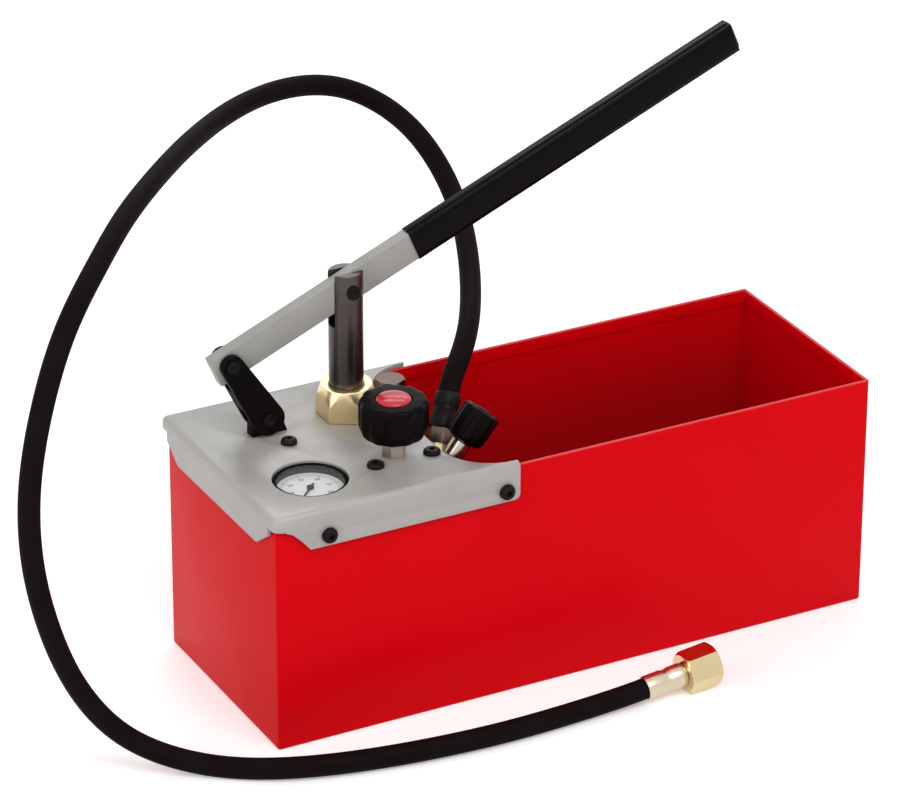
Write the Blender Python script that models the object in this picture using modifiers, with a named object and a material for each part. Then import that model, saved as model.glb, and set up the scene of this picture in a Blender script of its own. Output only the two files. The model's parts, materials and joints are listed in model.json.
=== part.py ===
"""A hand-operated hydrostatic test pump: a water tank with a lever pump on its cover plate.

Metres, +Z up. The origin is the centre of the tank's underside, +X runs along the tank
away from the pump, and +Y to the back. Places on the plate are measured from the tank's
left end and from its front wall, as on a workshop drawing.
"""

import math

import bmesh
import bpy
import numpy as np
from mathutils import Matrix, Vector

# Fits
CLEAR = 0.0003
SLIDE_FIT = 0.0003
OVERRUN = 0.006

# Tank
TANK_LENGTH = 0.460
TANK_HEIGHT = 0.174
TANK_SHEET = 0.0012
HEM_HEIGHT = 0.010
HEM_DEPTH = 0.0012

# Cover plate
PLATE_SHEET = 0.003
PLATE_FIT = 0.0006
PLATE_BEND = 0.0038
PLATE_DEPTH = 0.0275
PLATE_BESIDE_RELIEF = 0.0177
EAR_LENGTH = 0.0391
EAR_LEDGE = 0.001
EAR_SWEEP = 0.037
FLANGE_CORNER = 0.004
FRONT_RELIEF_RUN = 0.024
FRONT_RELIEF_DEPTH = 0.0189
FRONT_RELIEF_SHARES = ((0.0, 1.0), (0.28, 0.90), (0.52, 0.75), (0.75, 0.43), (1.0, 0.0))
LEFT_RELIEF_RUN = 0.023
LEFT_RELIEF_DEPTH = 0.0170
LEFT_RELIEF_SHARES = ((0.0, 1.0), (0.36, 0.71), (0.70, 0.34), (1.0, 0.0))

# Screws through the flanges into the tank
FLANGE_SCREW_FROM_LEFT = 0.0375
FLANGE_SCREW_FROM_EAR = 0.0104
FLANGE_SCREW_DROP = 0.0195
FLANGE_SCREW_SHANK = 0.003
FLANGE_SCREW_HEAD = 0.0055
FLANGE_SCREW_HEAD_HEIGHT = 0.0038
FLANGE_NUT_FLATS = 0.010
FLANGE_NUT_HEIGHT = 0.005
HEX_SOCKET_FLATS = 0.004
HEX_SOCKET_DEPTH = 0.002

# Ram, on the pump's main axis, and the lever pin's height over the plate
RAM_FROM_LEFT = 0.111
RAM_FROM_FRONT = 0.117
RAM_FROM_BACK = 0.052
RAM_RADIUS = 0.012
RAM_PIN_OVER_PLATE = 0.0957
RAM_OVER_PIN = 0.012
RAM_HALF_STROKE = 0.028
RAM_END_GAP = 0.0053
FORK_GAP = 0.0007
FORK_BELOW_LEVER = 0.016
PISTON_RADIUS = 0.016
PISTON_LENGTH = 0.014
PISTON_GROOVE = 0.004
PISTON_GROOVE_DEPTH = 0.0026

# Gland
GLAND_FLATS = 0.037
GLAND_TOP_HEIGHT = 0.0233
GLAND_TOP_INSET = 0.0008
GLAND_CHAMFER_DROP = 0.0125
GLAND_WALL = 0.0027
GLAND_THREAD_LENGTH = 0.013
GLAND_MOUTH = 0.0012
PACKING_HEIGHT = 0.008

# Valve block under the plate
BLOCK_LEFT_OF_RAM = 0.027
BLOCK_INSIDE_PLATE = 0.0005
BLOCK_FROM_FRONT = 0.026
BLOCK_BEHIND_RAM = 0.033
BLOCK_HEIGHT = 0.032
BLOCK_ROUND = 0.002
LEDGE_LENGTH = 0.026
LEDGE_BEHIND_RAM = 0.007
LEDGE_DROP = 0.0012
LEDGE_HEIGHT = 0.022
CYLINDER_SPIGOT = 0.006

# Screws down through the plate into the block, from the block's sides
BLOCK_SCREW_LEFT_INSET = 0.0083
BLOCK_SCREW_FRONT_INSET = 0.0101
BLOCK_SCREW_RIGHT_INSET = 0.0069
BLOCK_SCREW_BACK_INSET = 0.0070
BLOCK_SCREW_BACK_FROM_RIGHT = 0.0170
BLOCK_SCREW_HEAD = 0.0060
BLOCK_SCREW_HEAD_HEIGHT = 0.0032
BLOCK_SCREW_SHANK = 0.003
BLOCK_SCREW_LENGTH = 0.016

# Pump cylinder and foot valve, hanging in the water, built up from the tank's floor
CYLINDER_WALL = 0.0037
CYLINDER_SPIGOT_WALL = 0.0017
STRAINER_OVER_FLOOR = 0.0128
STRAINER_RADIUS = 0.0165
STRAINER_WALL = 0.0012
STRAINER_HEIGHT = 0.032
STRAINER_SLOTS = 8
STRAINER_SLOT_WIDTH = 0.003
FOOT_IN_STRAINER = 0.021
FOOT_STEM_RADIUS = 0.013
FOOT_STEM_LENGTH = 0.0247
FOOT_SPIGOT = 0.006
FOOT_FLANGE = 0.008
FOOT_CHAMBER_RADIUS = 0.008
FOOT_PORT_RADIUS = 0.004
FOOT_PORT_LENGTH = 0.010
FOOT_BALL_RADIUS = 0.0060

# Delivery valve in the block's ledge, under its hex plug
DELIVERY_RIGHT_OF_BLOCK = 0.013
DELIVERY_BEHIND_RAM = 0.020
DELIVERY_BORE = 0.0055
DELIVERY_BORE_DEPTH = 0.015
DELIVERY_SEAT_RADIUS = 0.003
DELIVERY_BALL_RADIUS = 0.0042
PLUG_FLATS = 0.019
PLUG_HEAD_HEIGHT = 0.0119
PLUG_STEM_LENGTH = 0.004

# Lever: a flat bar with a moulded grip; its tail pin is measured from the fork's pin
LEVER_RISE_DEG = 23.0
LEVER_HEIGHT = 0.022
LEVER_THICKNESS = 0.009
LEVER_TAIL_ARM = 0.09684
LEVER_TAIL_OFFSET = 0.00091
LEVER_TAIL_END = 0.0117
LEVER_REACH = 0.3245
LEVER_CORNER = 0.002
LEVER_BORE_PLAY = 0.0003
GRIP_FROM_PIN = 0.054
GRIP_WALL = 0.0009
GRIP_END = 0.0020
GRIP_ROUND = 0.0015

# Fork pin through ram and lever
FORK_PIN_RADIUS = 0.004
FORK_PIN_HEAD = 0.0052
FORK_PIN_HEAD_HEIGHT = 0.0012
CLIP_WIDTH = 0.0018
CLIP_THICKNESS = 0.0010

# Link between bracket and lever
LINK_FOOT_LEFT_OF_RAM = 0.063
LINK_OVER_PLATE = 0.0015
LINK_TOP_ROUND = 0.0082
LINK_FOOT_ROUND = 0.0117
LINK_THICKNESS = 0.020
LINK_SIDE_GAP = 0.0004
LINK_TOP_SLOT_PAST_LEVER = 0.0095
LINK_FOOT_SLOT_PAST_LUG = 0.0045
LINK_PIN_RADIUS = 0.0035
LINK_PIN_HEAD = 0.0048
LINK_PIN_HEAD_HEIGHT = 0.0010

# The linkage is opened at the lever's tail, where the hole is a short slot
TAIL_SLOT_PLAY_ALONG = 0.0032
TAIL_SLOT_PLAY_ACROSS = 0.0016

# Link bracket through the plate
BRACKET_THICKNESS = 0.009
BRACKET_ROUND = 0.0105
BRACKET_HEEL = 0.0155
BRACKET_BASE = 0.0045
BRACKET_BASE_HALF_DEPTH = 0.031
BRACKET_SCREW_FROM_PIN = 0.0078
BRACKET_SCREW_SPREAD = 0.0232
BRACKET_SCREW_HEAD = 0.0056
BRACKET_SCREW_HEAD_HEIGHT = 0.0036
BRACKET_SCREW_SHANK = 0.003

# Fluted knobs, a large and a small one of the same form, on a spindle each
KNOB_RADIUS = 0.024
KNOB_HEIGHT = 0.027
SMALL_KNOB_RADIUS = 0.0138
SMALL_KNOB_HEIGHT = 0.0245
KNOB_LOBES = 12
KNOB_LOBE_SHARE = 0.054
KNOB_FORM_SHARES = ((0.0, 1.0), (0.67, 1.0), (0.94, 0.963), (1.0, 0.889), (1.0, 0.26),
                    (0.94, 0.086), (0.73, 0.0), (0.0, 0.0))
KNOB_RECESS_DEPTH = 0.0012
CAP_RADIUS_SHARE = 0.5
CAP_GAP = 0.001
CAP_RISE_SHARE = 0.15
SPINDLE_RADIUS = 0.0035
SPINDLE_BELOW = 0.022
SPINDLE_ABOVE = 0.019
SPINDLE_PLAY = 0.0005
KNOB_SEAT_GAP = 0.0008
VALVE_PORT_DEPTH = 0.012

# Valve necks
NECK_FLATS = 0.0145
NECK_COLLAR_RADIUS = 0.0072
NECK_COLLAR_HEIGHT = 0.003
NECK_STEM_RADIUS = 0.0062
NECK_STEM_LENGTH = 0.010
RELIEF_NECK_RADIUS = 0.0073
RELIEF_NECK_CHAMFER = 0.0006
RELIEF_NECK_LENGTH = 0.0185
RELIEF_BOSS_RADIUS = 0.0103
RELIEF_BOSS_LENGTH = 0.020

SHUTOFF_FROM_FRONT = 0.046
SHUTOFF_OVER_PLATE = 0.0152
RELIEF_FROM_KNOB = 0.025
RELIEF_FROM_FRONT = 0.0387
RELIEF_OVER_PLATE = 0.0028
RELIEF_TILT_DEG = 38.0

# Pressure gauge, sunk in the plate
GAUGE_BESIDE_BLOCK = 0.0133
GAUGE_FROM_FRONT = 0.0408
GAUGE_RADIUS = 0.0250
GAUGE_HOLE_GAP = 0.0012
GAUGE_BELOW_PLATE_TOP = 0.0008
GAUGE_DEPTH = 0.028
GAUGE_WALL = 0.0015
BEZEL_WIDTH = 0.0018
BEZEL_HEIGHT = 0.003
LENS_THICKNESS = 0.0014
DIAL_BELOW_PLATE_TOP = 0.0078
DIAL_THICKNESS = 0.0008
DIAL_RIB = 0.0015
DIAL_RIB_DROP = 0.003
NEEDLE_SHORT_OF_BEZEL = 0.005
NEEDLE_TAIL = 0.006
NEEDLE_WIDTH = 0.0014
NEEDLE_THICKNESS = 0.0007
NEEDLE_HUB_RADIUS = 0.0024
NEEDLE_SPINDLE_RADIUS = 0.0009
NEEDLE_SPINDLE_LENGTH = 0.005
NEEDLE_REST_DEG = 225.0
GAUGE_STEM_BELOW_TOP = 0.016
GAUGE_STEM_RADIUS = 0.005
GAUGE_STEM_FLATS = 0.014
GAUGE_STEM_HEX_LENGTH = 0.007
GAUGE_STEM_SCREWED = 0.005

# Hose outlet: a boss beside the block carries the nipple, which the hose is crimped on
OUTLET_RIGHT_OF_BLOCK = 0.0135
OUTLET_BEHIND_RELIEF = 0.0273
OUTLET_BELOW_TOP = 0.0103
OUTLET_BOSS_RADIUS = 0.0105
OUTLET_BOSS_LENGTH = 0.040
NIPPLE_FLATS = 0.0165
NIPPLE_HEX_LENGTH = 0.0117
NIPPLE_TAIL_RADIUS = 0.0038
NIPPLE_TAIL_LENGTH = 0.016
NIPPLE_BORE = 0.0022
NIPPLE_STEM_RADIUS = 0.0055
NIPPLE_STEM_LENGTH = 0.006
FERRULE_RADIUS = 0.0090
FERRULE_LENGTH = 0.026
FERRULE_GROOVE = 0.0006
FERRULE_BORE = 0.0042
FERRULE_SHARES = ((1.0, 1.0), (0.92, 0.0), (0.66, 0.0), (0.60, 1.0), (0.52, 1.0),
                  (0.46, 0.0), (0.06, 0.0), (0.0, 1.0))

# Hose, and the union at its free end
HOSE_RADIUS = 0.0075
HOSE_SIDES = 3
HOSE_SAMPLES = 50
HOSE_STRAIGHT = 0.004
HOSE_EXIT_WAY = (0.46, 0.50, 0.73)
HOSE_END_WAY = (0.9950, 0.030, 0.095)
END_FERRULE_RADIUS = 0.0085
END_FERRULE_LENGTH = 0.031
UNION_FLATS = 0.027
UNION_LENGTH = 0.0245
UNION_LIP = 0.004
UNION_WALL = 0.0027
UNION_CHAMFER = 0.0016
TAIL_NECK_RADIUS = 0.0066
TAIL_NECK_PLAY = 0.0006
TAIL_COLLAR_PLAY = 0.0009
TAIL_COLLAR_LENGTH = 0.004
TAIL_BORE = 0.0026
WASHER_THICKNESS = 0.002
WASHER_BORE = 0.005

# The hose's centre line after its outlet, on to its free end, in world metres
HOSE_ROUTE = (
    (-0.0364, 0.0207, 0.2093),
    (-0.0045, 0.0673, 0.2241),
    (0.0207, 0.1212, 0.2386),
    (0.0340, 0.1735, 0.2610),
    (0.0210, 0.2105, 0.2950),
    (-0.0190, 0.2295, 0.3240),
    (-0.0710, 0.2225, 0.3370),
    (-0.1190, 0.1995, 0.3410),
    (-0.1610, 0.1665, 0.3440),
    (-0.1990, 0.1285, 0.3480),
    (-0.2360, 0.0895, 0.3500),
    (-0.2730, 0.0515, 0.3470),
    (-0.3100, 0.0145, 0.3350),
    (-0.3460, -0.0165, 0.3110),
    (-0.3740, -0.0395, 0.2710),
    (-0.3910, -0.0545, 0.2230),
    (-0.3930, -0.0605, 0.1700),
    (-0.3820, -0.0605, 0.1170),
    (-0.3620, -0.0575, 0.0680),
    (-0.3300, -0.0635, 0.0260),
    (-0.2870, -0.0895, 0.0080),
    (-0.2420, -0.1185, 0.0080),
    (-0.1910, -0.1335, 0.0080),
    (-0.1380, -0.1415, 0.0080),
    (-0.0840, -0.1445, 0.0080),
    (-0.0300, -0.1425, 0.0080),
    (0.0205, -0.1410, 0.0107),
)

# Places worked out from the sizes above
ROOT_THREE = math.sqrt(3)
TANK_WIDTH = RAM_FROM_FRONT + RAM_FROM_BACK
LEFT = -TANK_LENGTH / 2
FRONT = -TANK_WIDTH / 2
BACK = TANK_WIDTH / 2
PLATE_UNDER = TANK_HEIGHT + CLEAR
PLATE_TOP = PLATE_UNDER + PLATE_SHEET
PLATE_LOW = PLATE_TOP - PLATE_DEPTH
PLATE_LEFT = LEFT - PLATE_FIT - PLATE_SHEET
PLATE_FRONT = FRONT - PLATE_FIT - PLATE_SHEET
PLATE_BACK = -PLATE_FRONT
RAM_X = LEFT + RAM_FROM_LEFT
RAM_Y = FRONT + RAM_FROM_FRONT
RELIEF_TILT = math.radians(RELIEF_TILT_DEG)
RELIEF_WAY = Vector((math.sin(RELIEF_TILT), 0, math.cos(RELIEF_TILT)))
SHUTOFF = Vector((RAM_X, FRONT + SHUTOFF_FROM_FRONT, PLATE_TOP + SHUTOFF_OVER_PLATE))
RELIEF = Vector((RAM_X + KNOB_RADIUS + RELIEF_FROM_KNOB, FRONT + RELIEF_FROM_FRONT,
                 PLATE_TOP + RELIEF_OVER_PLATE))
PLATE_EDGE = RELIEF.x - PLATE_BESIDE_RELIEF
EAR_RIGHT = PLATE_EDGE + EAR_LENGTH
PLATE_FAR = EAR_RIGHT + EAR_LENGTH
BLOCK_LEFT = RAM_X - BLOCK_LEFT_OF_RAM
BLOCK_RIGHT = PLATE_EDGE - BLOCK_INSIDE_PLATE
BLOCK_FRONT = FRONT + BLOCK_FROM_FRONT
BLOCK_BACK = RAM_Y + BLOCK_BEHIND_RAM
BLOCK_TOP = PLATE_UNDER - CLEAR
BLOCK_LOW = BLOCK_TOP - BLOCK_HEIGHT
LEDGE_TOP = BLOCK_TOP - LEDGE_DROP
LEDGE_LOW = LEDGE_TOP - LEDGE_HEIGHT
GLAND_BORE = RAM_RADIUS + SLIDE_FIT
GLAND_THREAD_RADIUS = GLAND_BORE + GLAND_WALL
GLAND_BASE = PLATE_TOP + CLEAR
GLAND_END = BLOCK_TOP - GLAND_THREAD_LENGTH
PACKING_TOP = GLAND_END - CLEAR
PACKING_LOW = PACKING_TOP - PACKING_HEIGHT
CYLINDER_BORE = PISTON_RADIUS + SLIDE_FIT
CYLINDER_RADIUS = CYLINDER_BORE + CYLINDER_WALL
CYLINDER_TOP = BLOCK_LOW - CLEAR
STRAINER_LOW = TANK_SHEET + STRAINER_OVER_FLOOR
STRAINER_HIGH = STRAINER_LOW + STRAINER_HEIGHT
FOOT_END = STRAINER_HIGH - FOOT_IN_STRAINER
FOOT_SEAT = FOOT_END + FOOT_PORT_LENGTH
FOOT_TOP = FOOT_END + FOOT_STEM_LENGTH + FOOT_FLANGE
CYLINDER_END = FOOT_TOP + CLEAR
FORK_PIN = Vector((RAM_X, RAM_Y, PLATE_TOP + RAM_PIN_OVER_PLATE))
PISTON_LOW = FOOT_TOP + FOOT_SPIGOT + RAM_END_GAP + RAM_HALF_STROKE
RAM_SLOT = LEVER_THICKNESS + 2 * FORK_GAP
LEVER_RISE = math.radians(LEVER_RISE_DEG)
LINK_FOOT = Vector((RAM_X - LINK_FOOT_LEFT_OF_RAM, RAM_Y,
                    PLATE_TOP + LINK_OVER_PLATE + LINK_FOOT_ROUND))
LINK_TOP = FORK_PIN + Matrix.Rotation(-LEVER_RISE, 3, "Y") @ Vector(
    (-LEVER_TAIL_ARM, 0, LEVER_TAIL_OFFSET))
BRACKET_LEFT = LINK_FOOT.x - BRACKET_ROUND
BRACKET_RIGHT = LINK_FOOT.x + BRACKET_HEEL
GAUGE_X = BLOCK_LEFT - GAUGE_BESIDE_BLOCK - GAUGE_RADIUS
GAUGE_Y = FRONT + GAUGE_FROM_FRONT
GAUGE_TOP = PLATE_TOP - GAUGE_BELOW_PLATE_TOP
BEZEL_INNER = GAUGE_RADIUS - BEZEL_WIDTH
DIAL_TOP = PLATE_TOP - DIAL_BELOW_PLATE_TOP
DELIVERY_X = BLOCK_RIGHT + DELIVERY_RIGHT_OF_BLOCK
DELIVERY_Y = RAM_Y + DELIVERY_BEHIND_RAM
EXIT_WAY = Vector(HOSE_EXIT_WAY).normalized()
END_WAY = Vector(HOSE_END_WAY).normalized()
OUTLET = Vector((BLOCK_RIGHT + OUTLET_RIGHT_OF_BLOCK, RELIEF.y + OUTLET_BEHIND_RELIEF,
                 BLOCK_TOP - OUTLET_BELOW_TOP))
HOSE_START = OUTLET + EXIT_WAY * (NIPPLE_HEX_LENGTH + FERRULE_LENGTH + 3 * CLEAR)
HOSE_END = Vector(HOSE_ROUTE[-1])
UNION_BORE = UNION_FLATS / 2 - UNION_WALL
TAIL_COLLAR_RADIUS = UNION_BORE - TAIL_COLLAR_PLAY

# Facets round a full circle
FINE = 32
ROUND = 24
SMALL = 16


def clear_scene():
    for obj in list(bpy.data.objects):
        bpy.data.objects.remove(obj, do_unlink=True)


def collection(name):
    made = bpy.data.collections.new(name)
    bpy.context.scene.collection.children.link(made)
    return made


clear_scene()
PARTS = collection("hydrostatic_test_pump")
TOOLS = collection("cutters")


# Finishes, one Principled material for each piece

RED_PAINT = ((0.55, 0.008, 0.012), 0.35, 0.0)
GREY_PAINT = ((0.40, 0.40, 0.38), 0.42, 0.0)
BLACK_OXIDE = ((0.02, 0.02, 0.02), 0.45, 0.6)
BLACK_PLASTIC = ((0.012, 0.012, 0.013), 0.5, 0.0)
BLACK_RUBBER = ((0.015, 0.015, 0.015), 0.65, 0.0)
RED_PLASTIC = ((0.55, 0.02, 0.03), 0.3, 0.0)
DARK_STEEL = ((0.10, 0.095, 0.09), 0.35, 0.9)
BRIGHT_STEEL = ((0.62, 0.61, 0.60), 0.28, 1.0)
NICKEL = ((0.66, 0.62, 0.56), 0.2, 1.0)
BRASS = ((0.62, 0.50, 0.26), 0.3, 1.0)
ZINC = ((0.60, 0.58, 0.50), 0.35, 1.0)
WHITE = ((0.85, 0.85, 0.82), 0.5, 0.0)
CLEAR_PLASTIC = ((0.85, 0.9, 0.9), 0.08, 0.0)
FIBRE = ((0.30, 0.27, 0.22), 0.8, 0.0)


def paint(obj, finish):
    colour, roughness, metallic = finish
    made = bpy.data.materials.new(obj.name + "_finish")
    made.use_nodes = True
    shader = made.node_tree.nodes["Principled BSDF"]
    shader.inputs["Base Color"].default_value = (*colour, 1)
    shader.inputs["Roughness"].default_value = roughness
    shader.inputs["Metallic"].default_value = metallic
    obj.data.materials.clear()
    obj.data.materials.append(made)


# Placing: a frame is a matrix whose Z runs along the piece's own axis


def frame_at(point, way=(0, 0, 1)):
    turn = Vector(way).normalized().to_track_quat("Z", "Y").to_matrix().to_4x4()
    return Matrix.Translation(Vector(point)) @ turn


def side_frame(point, rise=0.0):
    """Local X runs along the tank, turned up by rise; local Y points up; local Z faces the front."""
    return (
        Matrix.Translation(Vector(point))
        @ Matrix.Rotation(math.pi / 2, 4, "X")
        @ Matrix.Rotation(rise, 4, "Z")
    )


def piece(name, mesh, frame=None, finish=None, smooth_deg=35):
    obj = bpy.data.objects.new(name, mesh)
    obj.matrix_world = frame or Matrix.Identity(4)
    if finish:
        PARTS.objects.link(obj)
        paint(obj, finish)
    else:
        TOOLS.objects.link(obj)
        obj.hide_render = True
        obj.display_type = "WIRE"
    if smooth_deg and mesh.polygons:
        mesh.shade_smooth()
        mesh.set_sharp_from_angle(angle=math.radians(smooth_deg))
    return obj


def shape_with(target, tool, operation):
    step = target.modifiers.new(operation.lower(), "BOOLEAN")
    step.operation = operation
    step.solver = "EXACT"
    step.object = tool


def cut(target, *tools):
    for tool in tools:
        shape_with(target, tool, "DIFFERENCE")
    return target


def join(target, *tools):
    for tool in tools:
        shape_with(target, tool, "UNION")
    return target


def keep_inside(target, tool):
    shape_with(target, tool, "INTERSECT")
    return target


# Meshes


def mesh_of(work, name):
    bmesh.ops.recalc_face_normals(work, faces=work.faces)
    mesh = bpy.data.meshes.new(name)
    work.to_mesh(mesh)
    work.free()
    return mesh


def box(name, low, high, frame=None, finish=None, fold=0.0, fold_steps=2):
    """A box between two corners, with all its edges rounded by fold."""
    low, high = Vector(low), Vector(high)
    work = bmesh.new()
    bmesh.ops.create_cube(work, size=1)
    bmesh.ops.scale(work, vec=high - low, verts=work.verts)
    bmesh.ops.translate(work, vec=(low + high) / 2, verts=work.verts)
    if fold:
        bmesh.ops.bevel(work, geom=work.edges, offset=fold, segments=fold_steps,
                        affect="EDGES", profile=0.5, material=-1)
    return piece(name, mesh_of(work, name), frame, finish)


def rod(name, radius, low, high, frame=None, finish=None, sides=SMALL):
    """A cylinder, or with six sides a hexagon, along its frame's Z from low to high."""
    work = bmesh.new()
    bmesh.ops.create_cone(work, cap_ends=True, segments=sides,
                          radius1=radius, radius2=radius, depth=high - low)
    bmesh.ops.translate(work, vec=(0, 0, (low + high) / 2), verts=work.verts)
    return piece(name, mesh_of(work, name), frame, finish)


def hexagon(name, flats, low, high, frame=None, finish=None, turn=0.0):
    """A hexagonal bar with flats facing its frame's X when turn is 0."""
    work = bmesh.new()
    bmesh.ops.create_cone(work, cap_ends=True, segments=6,
                          radius1=flats / ROOT_THREE, radius2=flats / ROOT_THREE,
                          depth=high - low)
    bmesh.ops.rotate(work, verts=work.verts, matrix=Matrix.Rotation(math.pi / 6 + turn, 3, "Z"))
    bmesh.ops.translate(work, vec=(0, 0, (low + high) / 2), verts=work.verts)
    return piece(name, mesh_of(work, name), frame, finish, smooth_deg=0)


def turned(name, profile, frame=None, finish=None, steps=ROUND, closed=True):
    """A turned shape from (radius, height) points: down its outer side, then up its bore."""
    mesh = bpy.data.meshes.new(name)
    count = len(profile)
    edges = [(i, i + 1) for i in range(count - 1)]
    if closed:
        edges.append((count - 1, 0))
    mesh.from_pydata([(r, 0, z) for r, z in profile], edges, [])
    obj = piece(name, mesh, frame, finish)
    screw = obj.modifiers.new("turn", "SCREW")
    screw.angle = 2 * math.pi
    screw.steps = steps
    screw.render_steps = steps
    screw.use_merge_vertices = True
    screw.merge_threshold = CLEAR / 30
    return obj


def arc(centre, radius, start_deg, end_deg, steps):
    start, sweep = math.radians(start_deg), math.radians(end_deg - start_deg)
    return [
        (centre[0] + radius * math.cos(start + sweep * i / steps),
         centre[1] + radius * math.sin(start + sweep * i / steps))
        for i in range(steps + 1)
    ]


def solid_of_curve(name, curve, frame, finish, smooth_deg=35):
    """The curve's own surface as a closed mesh, so that it can be cut and joined."""
    guide = bpy.data.objects.new(name + "_guide", curve)
    TOOLS.objects.link(guide)
    guide.matrix_world = frame or Matrix.Identity(4)
    graph = bpy.context.evaluated_depsgraph_get()
    mesh = bpy.data.meshes.new_from_object(guide.evaluated_get(graph))
    place = guide.matrix_world.copy()
    bpy.data.objects.remove(guide, do_unlink=True)
    work = bmesh.new()
    work.from_mesh(mesh)
    bmesh.ops.remove_doubles(work, verts=work.verts, dist=CLEAR / 30)
    bmesh.ops.recalc_face_normals(work, faces=work.faces)
    work.to_mesh(mesh)
    work.free()
    mesh.name = name
    return piece(name, mesh, place, finish, smooth_deg)


def flat(name, outline, low, high, frame=None, finish=None, smooth_deg=35):
    """A flat outline, as thick as low to high along its frame's Z."""
    curve = bpy.data.curves.new(name, "CURVE")
    curve.dimensions = "2D"
    curve.fill_mode = "BOTH"
    curve.extrude = (high - low) / 2
    line = curve.splines.new("POLY")
    line.points.add(len(outline) - 1)
    for point, (x, y) in zip(line.points, outline):
        point.co = (x, y, 0, 1)
    line.use_cyclic_u = True
    frame = (frame or Matrix.Identity(4)) @ Matrix.Translation((0, 0, (low + high) / 2))
    return solid_of_curve(name, curve, frame, finish, smooth_deg)


def origin_to(obj, point):
    """Moves the object's own origin to a point in the world and leaves its shape where it is."""
    bpy.context.view_layer.update()
    shift = obj.matrix_world.inverted() @ Vector(point)
    obj.data.transform(Matrix.Translation(-shift))
    obj.matrix_world = obj.matrix_world @ Matrix.Translation(shift)
    return obj


def smooth_route(points, start_way, end_way, samples):
    """Even samples of the clamped cubic through the points, with unit end tangents."""
    knots = np.array(points)
    gaps = np.linalg.norm(np.diff(knots, axis=0), axis=1)
    last = len(knots) - 1
    system = np.zeros((last + 1, last + 1))
    right = np.zeros((last + 1, 3))
    slopes = np.diff(knots, axis=0) / gaps[:, None]
    system[0, :2] = 2 * gaps[0], gaps[0]
    right[0] = 6 * (slopes[0] - np.array(start_way))
    system[last, last - 1:] = gaps[-1], 2 * gaps[-1]
    right[last] = 6 * (np.array(end_way) - slopes[-1])
    for i in range(1, last):
        system[i, i - 1:i + 2] = gaps[i - 1], 2 * (gaps[i - 1] + gaps[i]), gaps[i]
        right[i] = 6 * (slopes[i] - slopes[i - 1])
    bends = np.linalg.solve(system, right)
    ends = np.concatenate([[0], np.cumsum(gaps)])
    found = []
    for reach in np.linspace(0, ends[-1], samples):
        i = min(int(np.searchsorted(ends, reach, side="right")) - 1, last - 1)
        into, left_over, gap = reach - ends[i], ends[i + 1] - reach, gaps[i]
        found.append(
            (bends[i] * left_over**3 + bends[i + 1] * into**3) / (6 * gap)
            + (knots[i] / gap - bends[i] * gap / 6) * left_over
            + (knots[i + 1] / gap - bends[i + 1] * gap / 6) * into
        )
    return [Vector(point) for point in found]


def tube(name, points, radius, finish, sides):
    curve = bpy.data.curves.new(name, "CURVE")
    curve.dimensions = "3D"
    curve.bevel_depth = radius
    curve.bevel_resolution = sides
    curve.use_fill_caps = True
    line = curve.splines.new("POLY")
    line.points.add(len(points) - 1)
    for spot, point in zip(line.points, points):
        spot.co = (*point, 1)
    obj = bpy.data.objects.new(name, curve)
    PARTS.objects.link(obj)
    paint(obj, finish)
    return obj


# Fasteners shared by several places


def socket_screw(name, frame, head, head_height, shank, length):
    """A round-headed screw with a hexagon socket, its head standing on the frame's origin."""
    head_shares = ((0, 1), (0.62, 1), (0.88, 0.8), (1, 0.4), (1, 0))
    profile = [(head * out, CLEAR + head_height * up) for out, up in head_shares]
    profile += [(shank, CLEAR), (shank, CLEAR - length), (0, CLEAR - length)]
    body = turned(name, profile, frame, BLACK_OXIDE, SMALL, closed=False)
    socket = hexagon(name + "_socket", HEX_SOCKET_FLATS, head_height - HEX_SOCKET_DEPTH,
                     head_height + OVERRUN, frame)
    return cut(body, socket)


def nut(name, frame, flats, height, bore, finish):
    body = hexagon(name, flats, CLEAR, CLEAR + height, frame, finish)
    return cut(body, rod(name + "_bore", bore, -OVERRUN, height + OVERRUN, frame))


# Tank: one folded and welded sheet box with its rim hemmed inwards


def make_tank():
    half_length, half_width = TANK_LENGTH / 2, TANK_WIDTH / 2
    body = box("tank", (-half_length, -half_width, 0), (half_length, half_width, TANK_HEIGHT),
               finish=RED_PAINT)
    inner = TANK_SHEET
    mouth = TANK_SHEET + HEM_DEPTH
    hem_low = TANK_HEIGHT - HEM_HEIGHT
    cut(body,
        box("tank_inside", (inner - half_length, inner - half_width, TANK_SHEET),
            (half_length - inner, half_width - inner, hem_low)),
        box("tank_mouth", (mouth - half_length, mouth - half_width, hem_low - OVERRUN),
            (half_length - mouth, half_width - mouth, TANK_HEIGHT + OVERRUN)))
    return body


# Cover plate: a pressed lid with three folded flanges and its corners relieved


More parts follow.
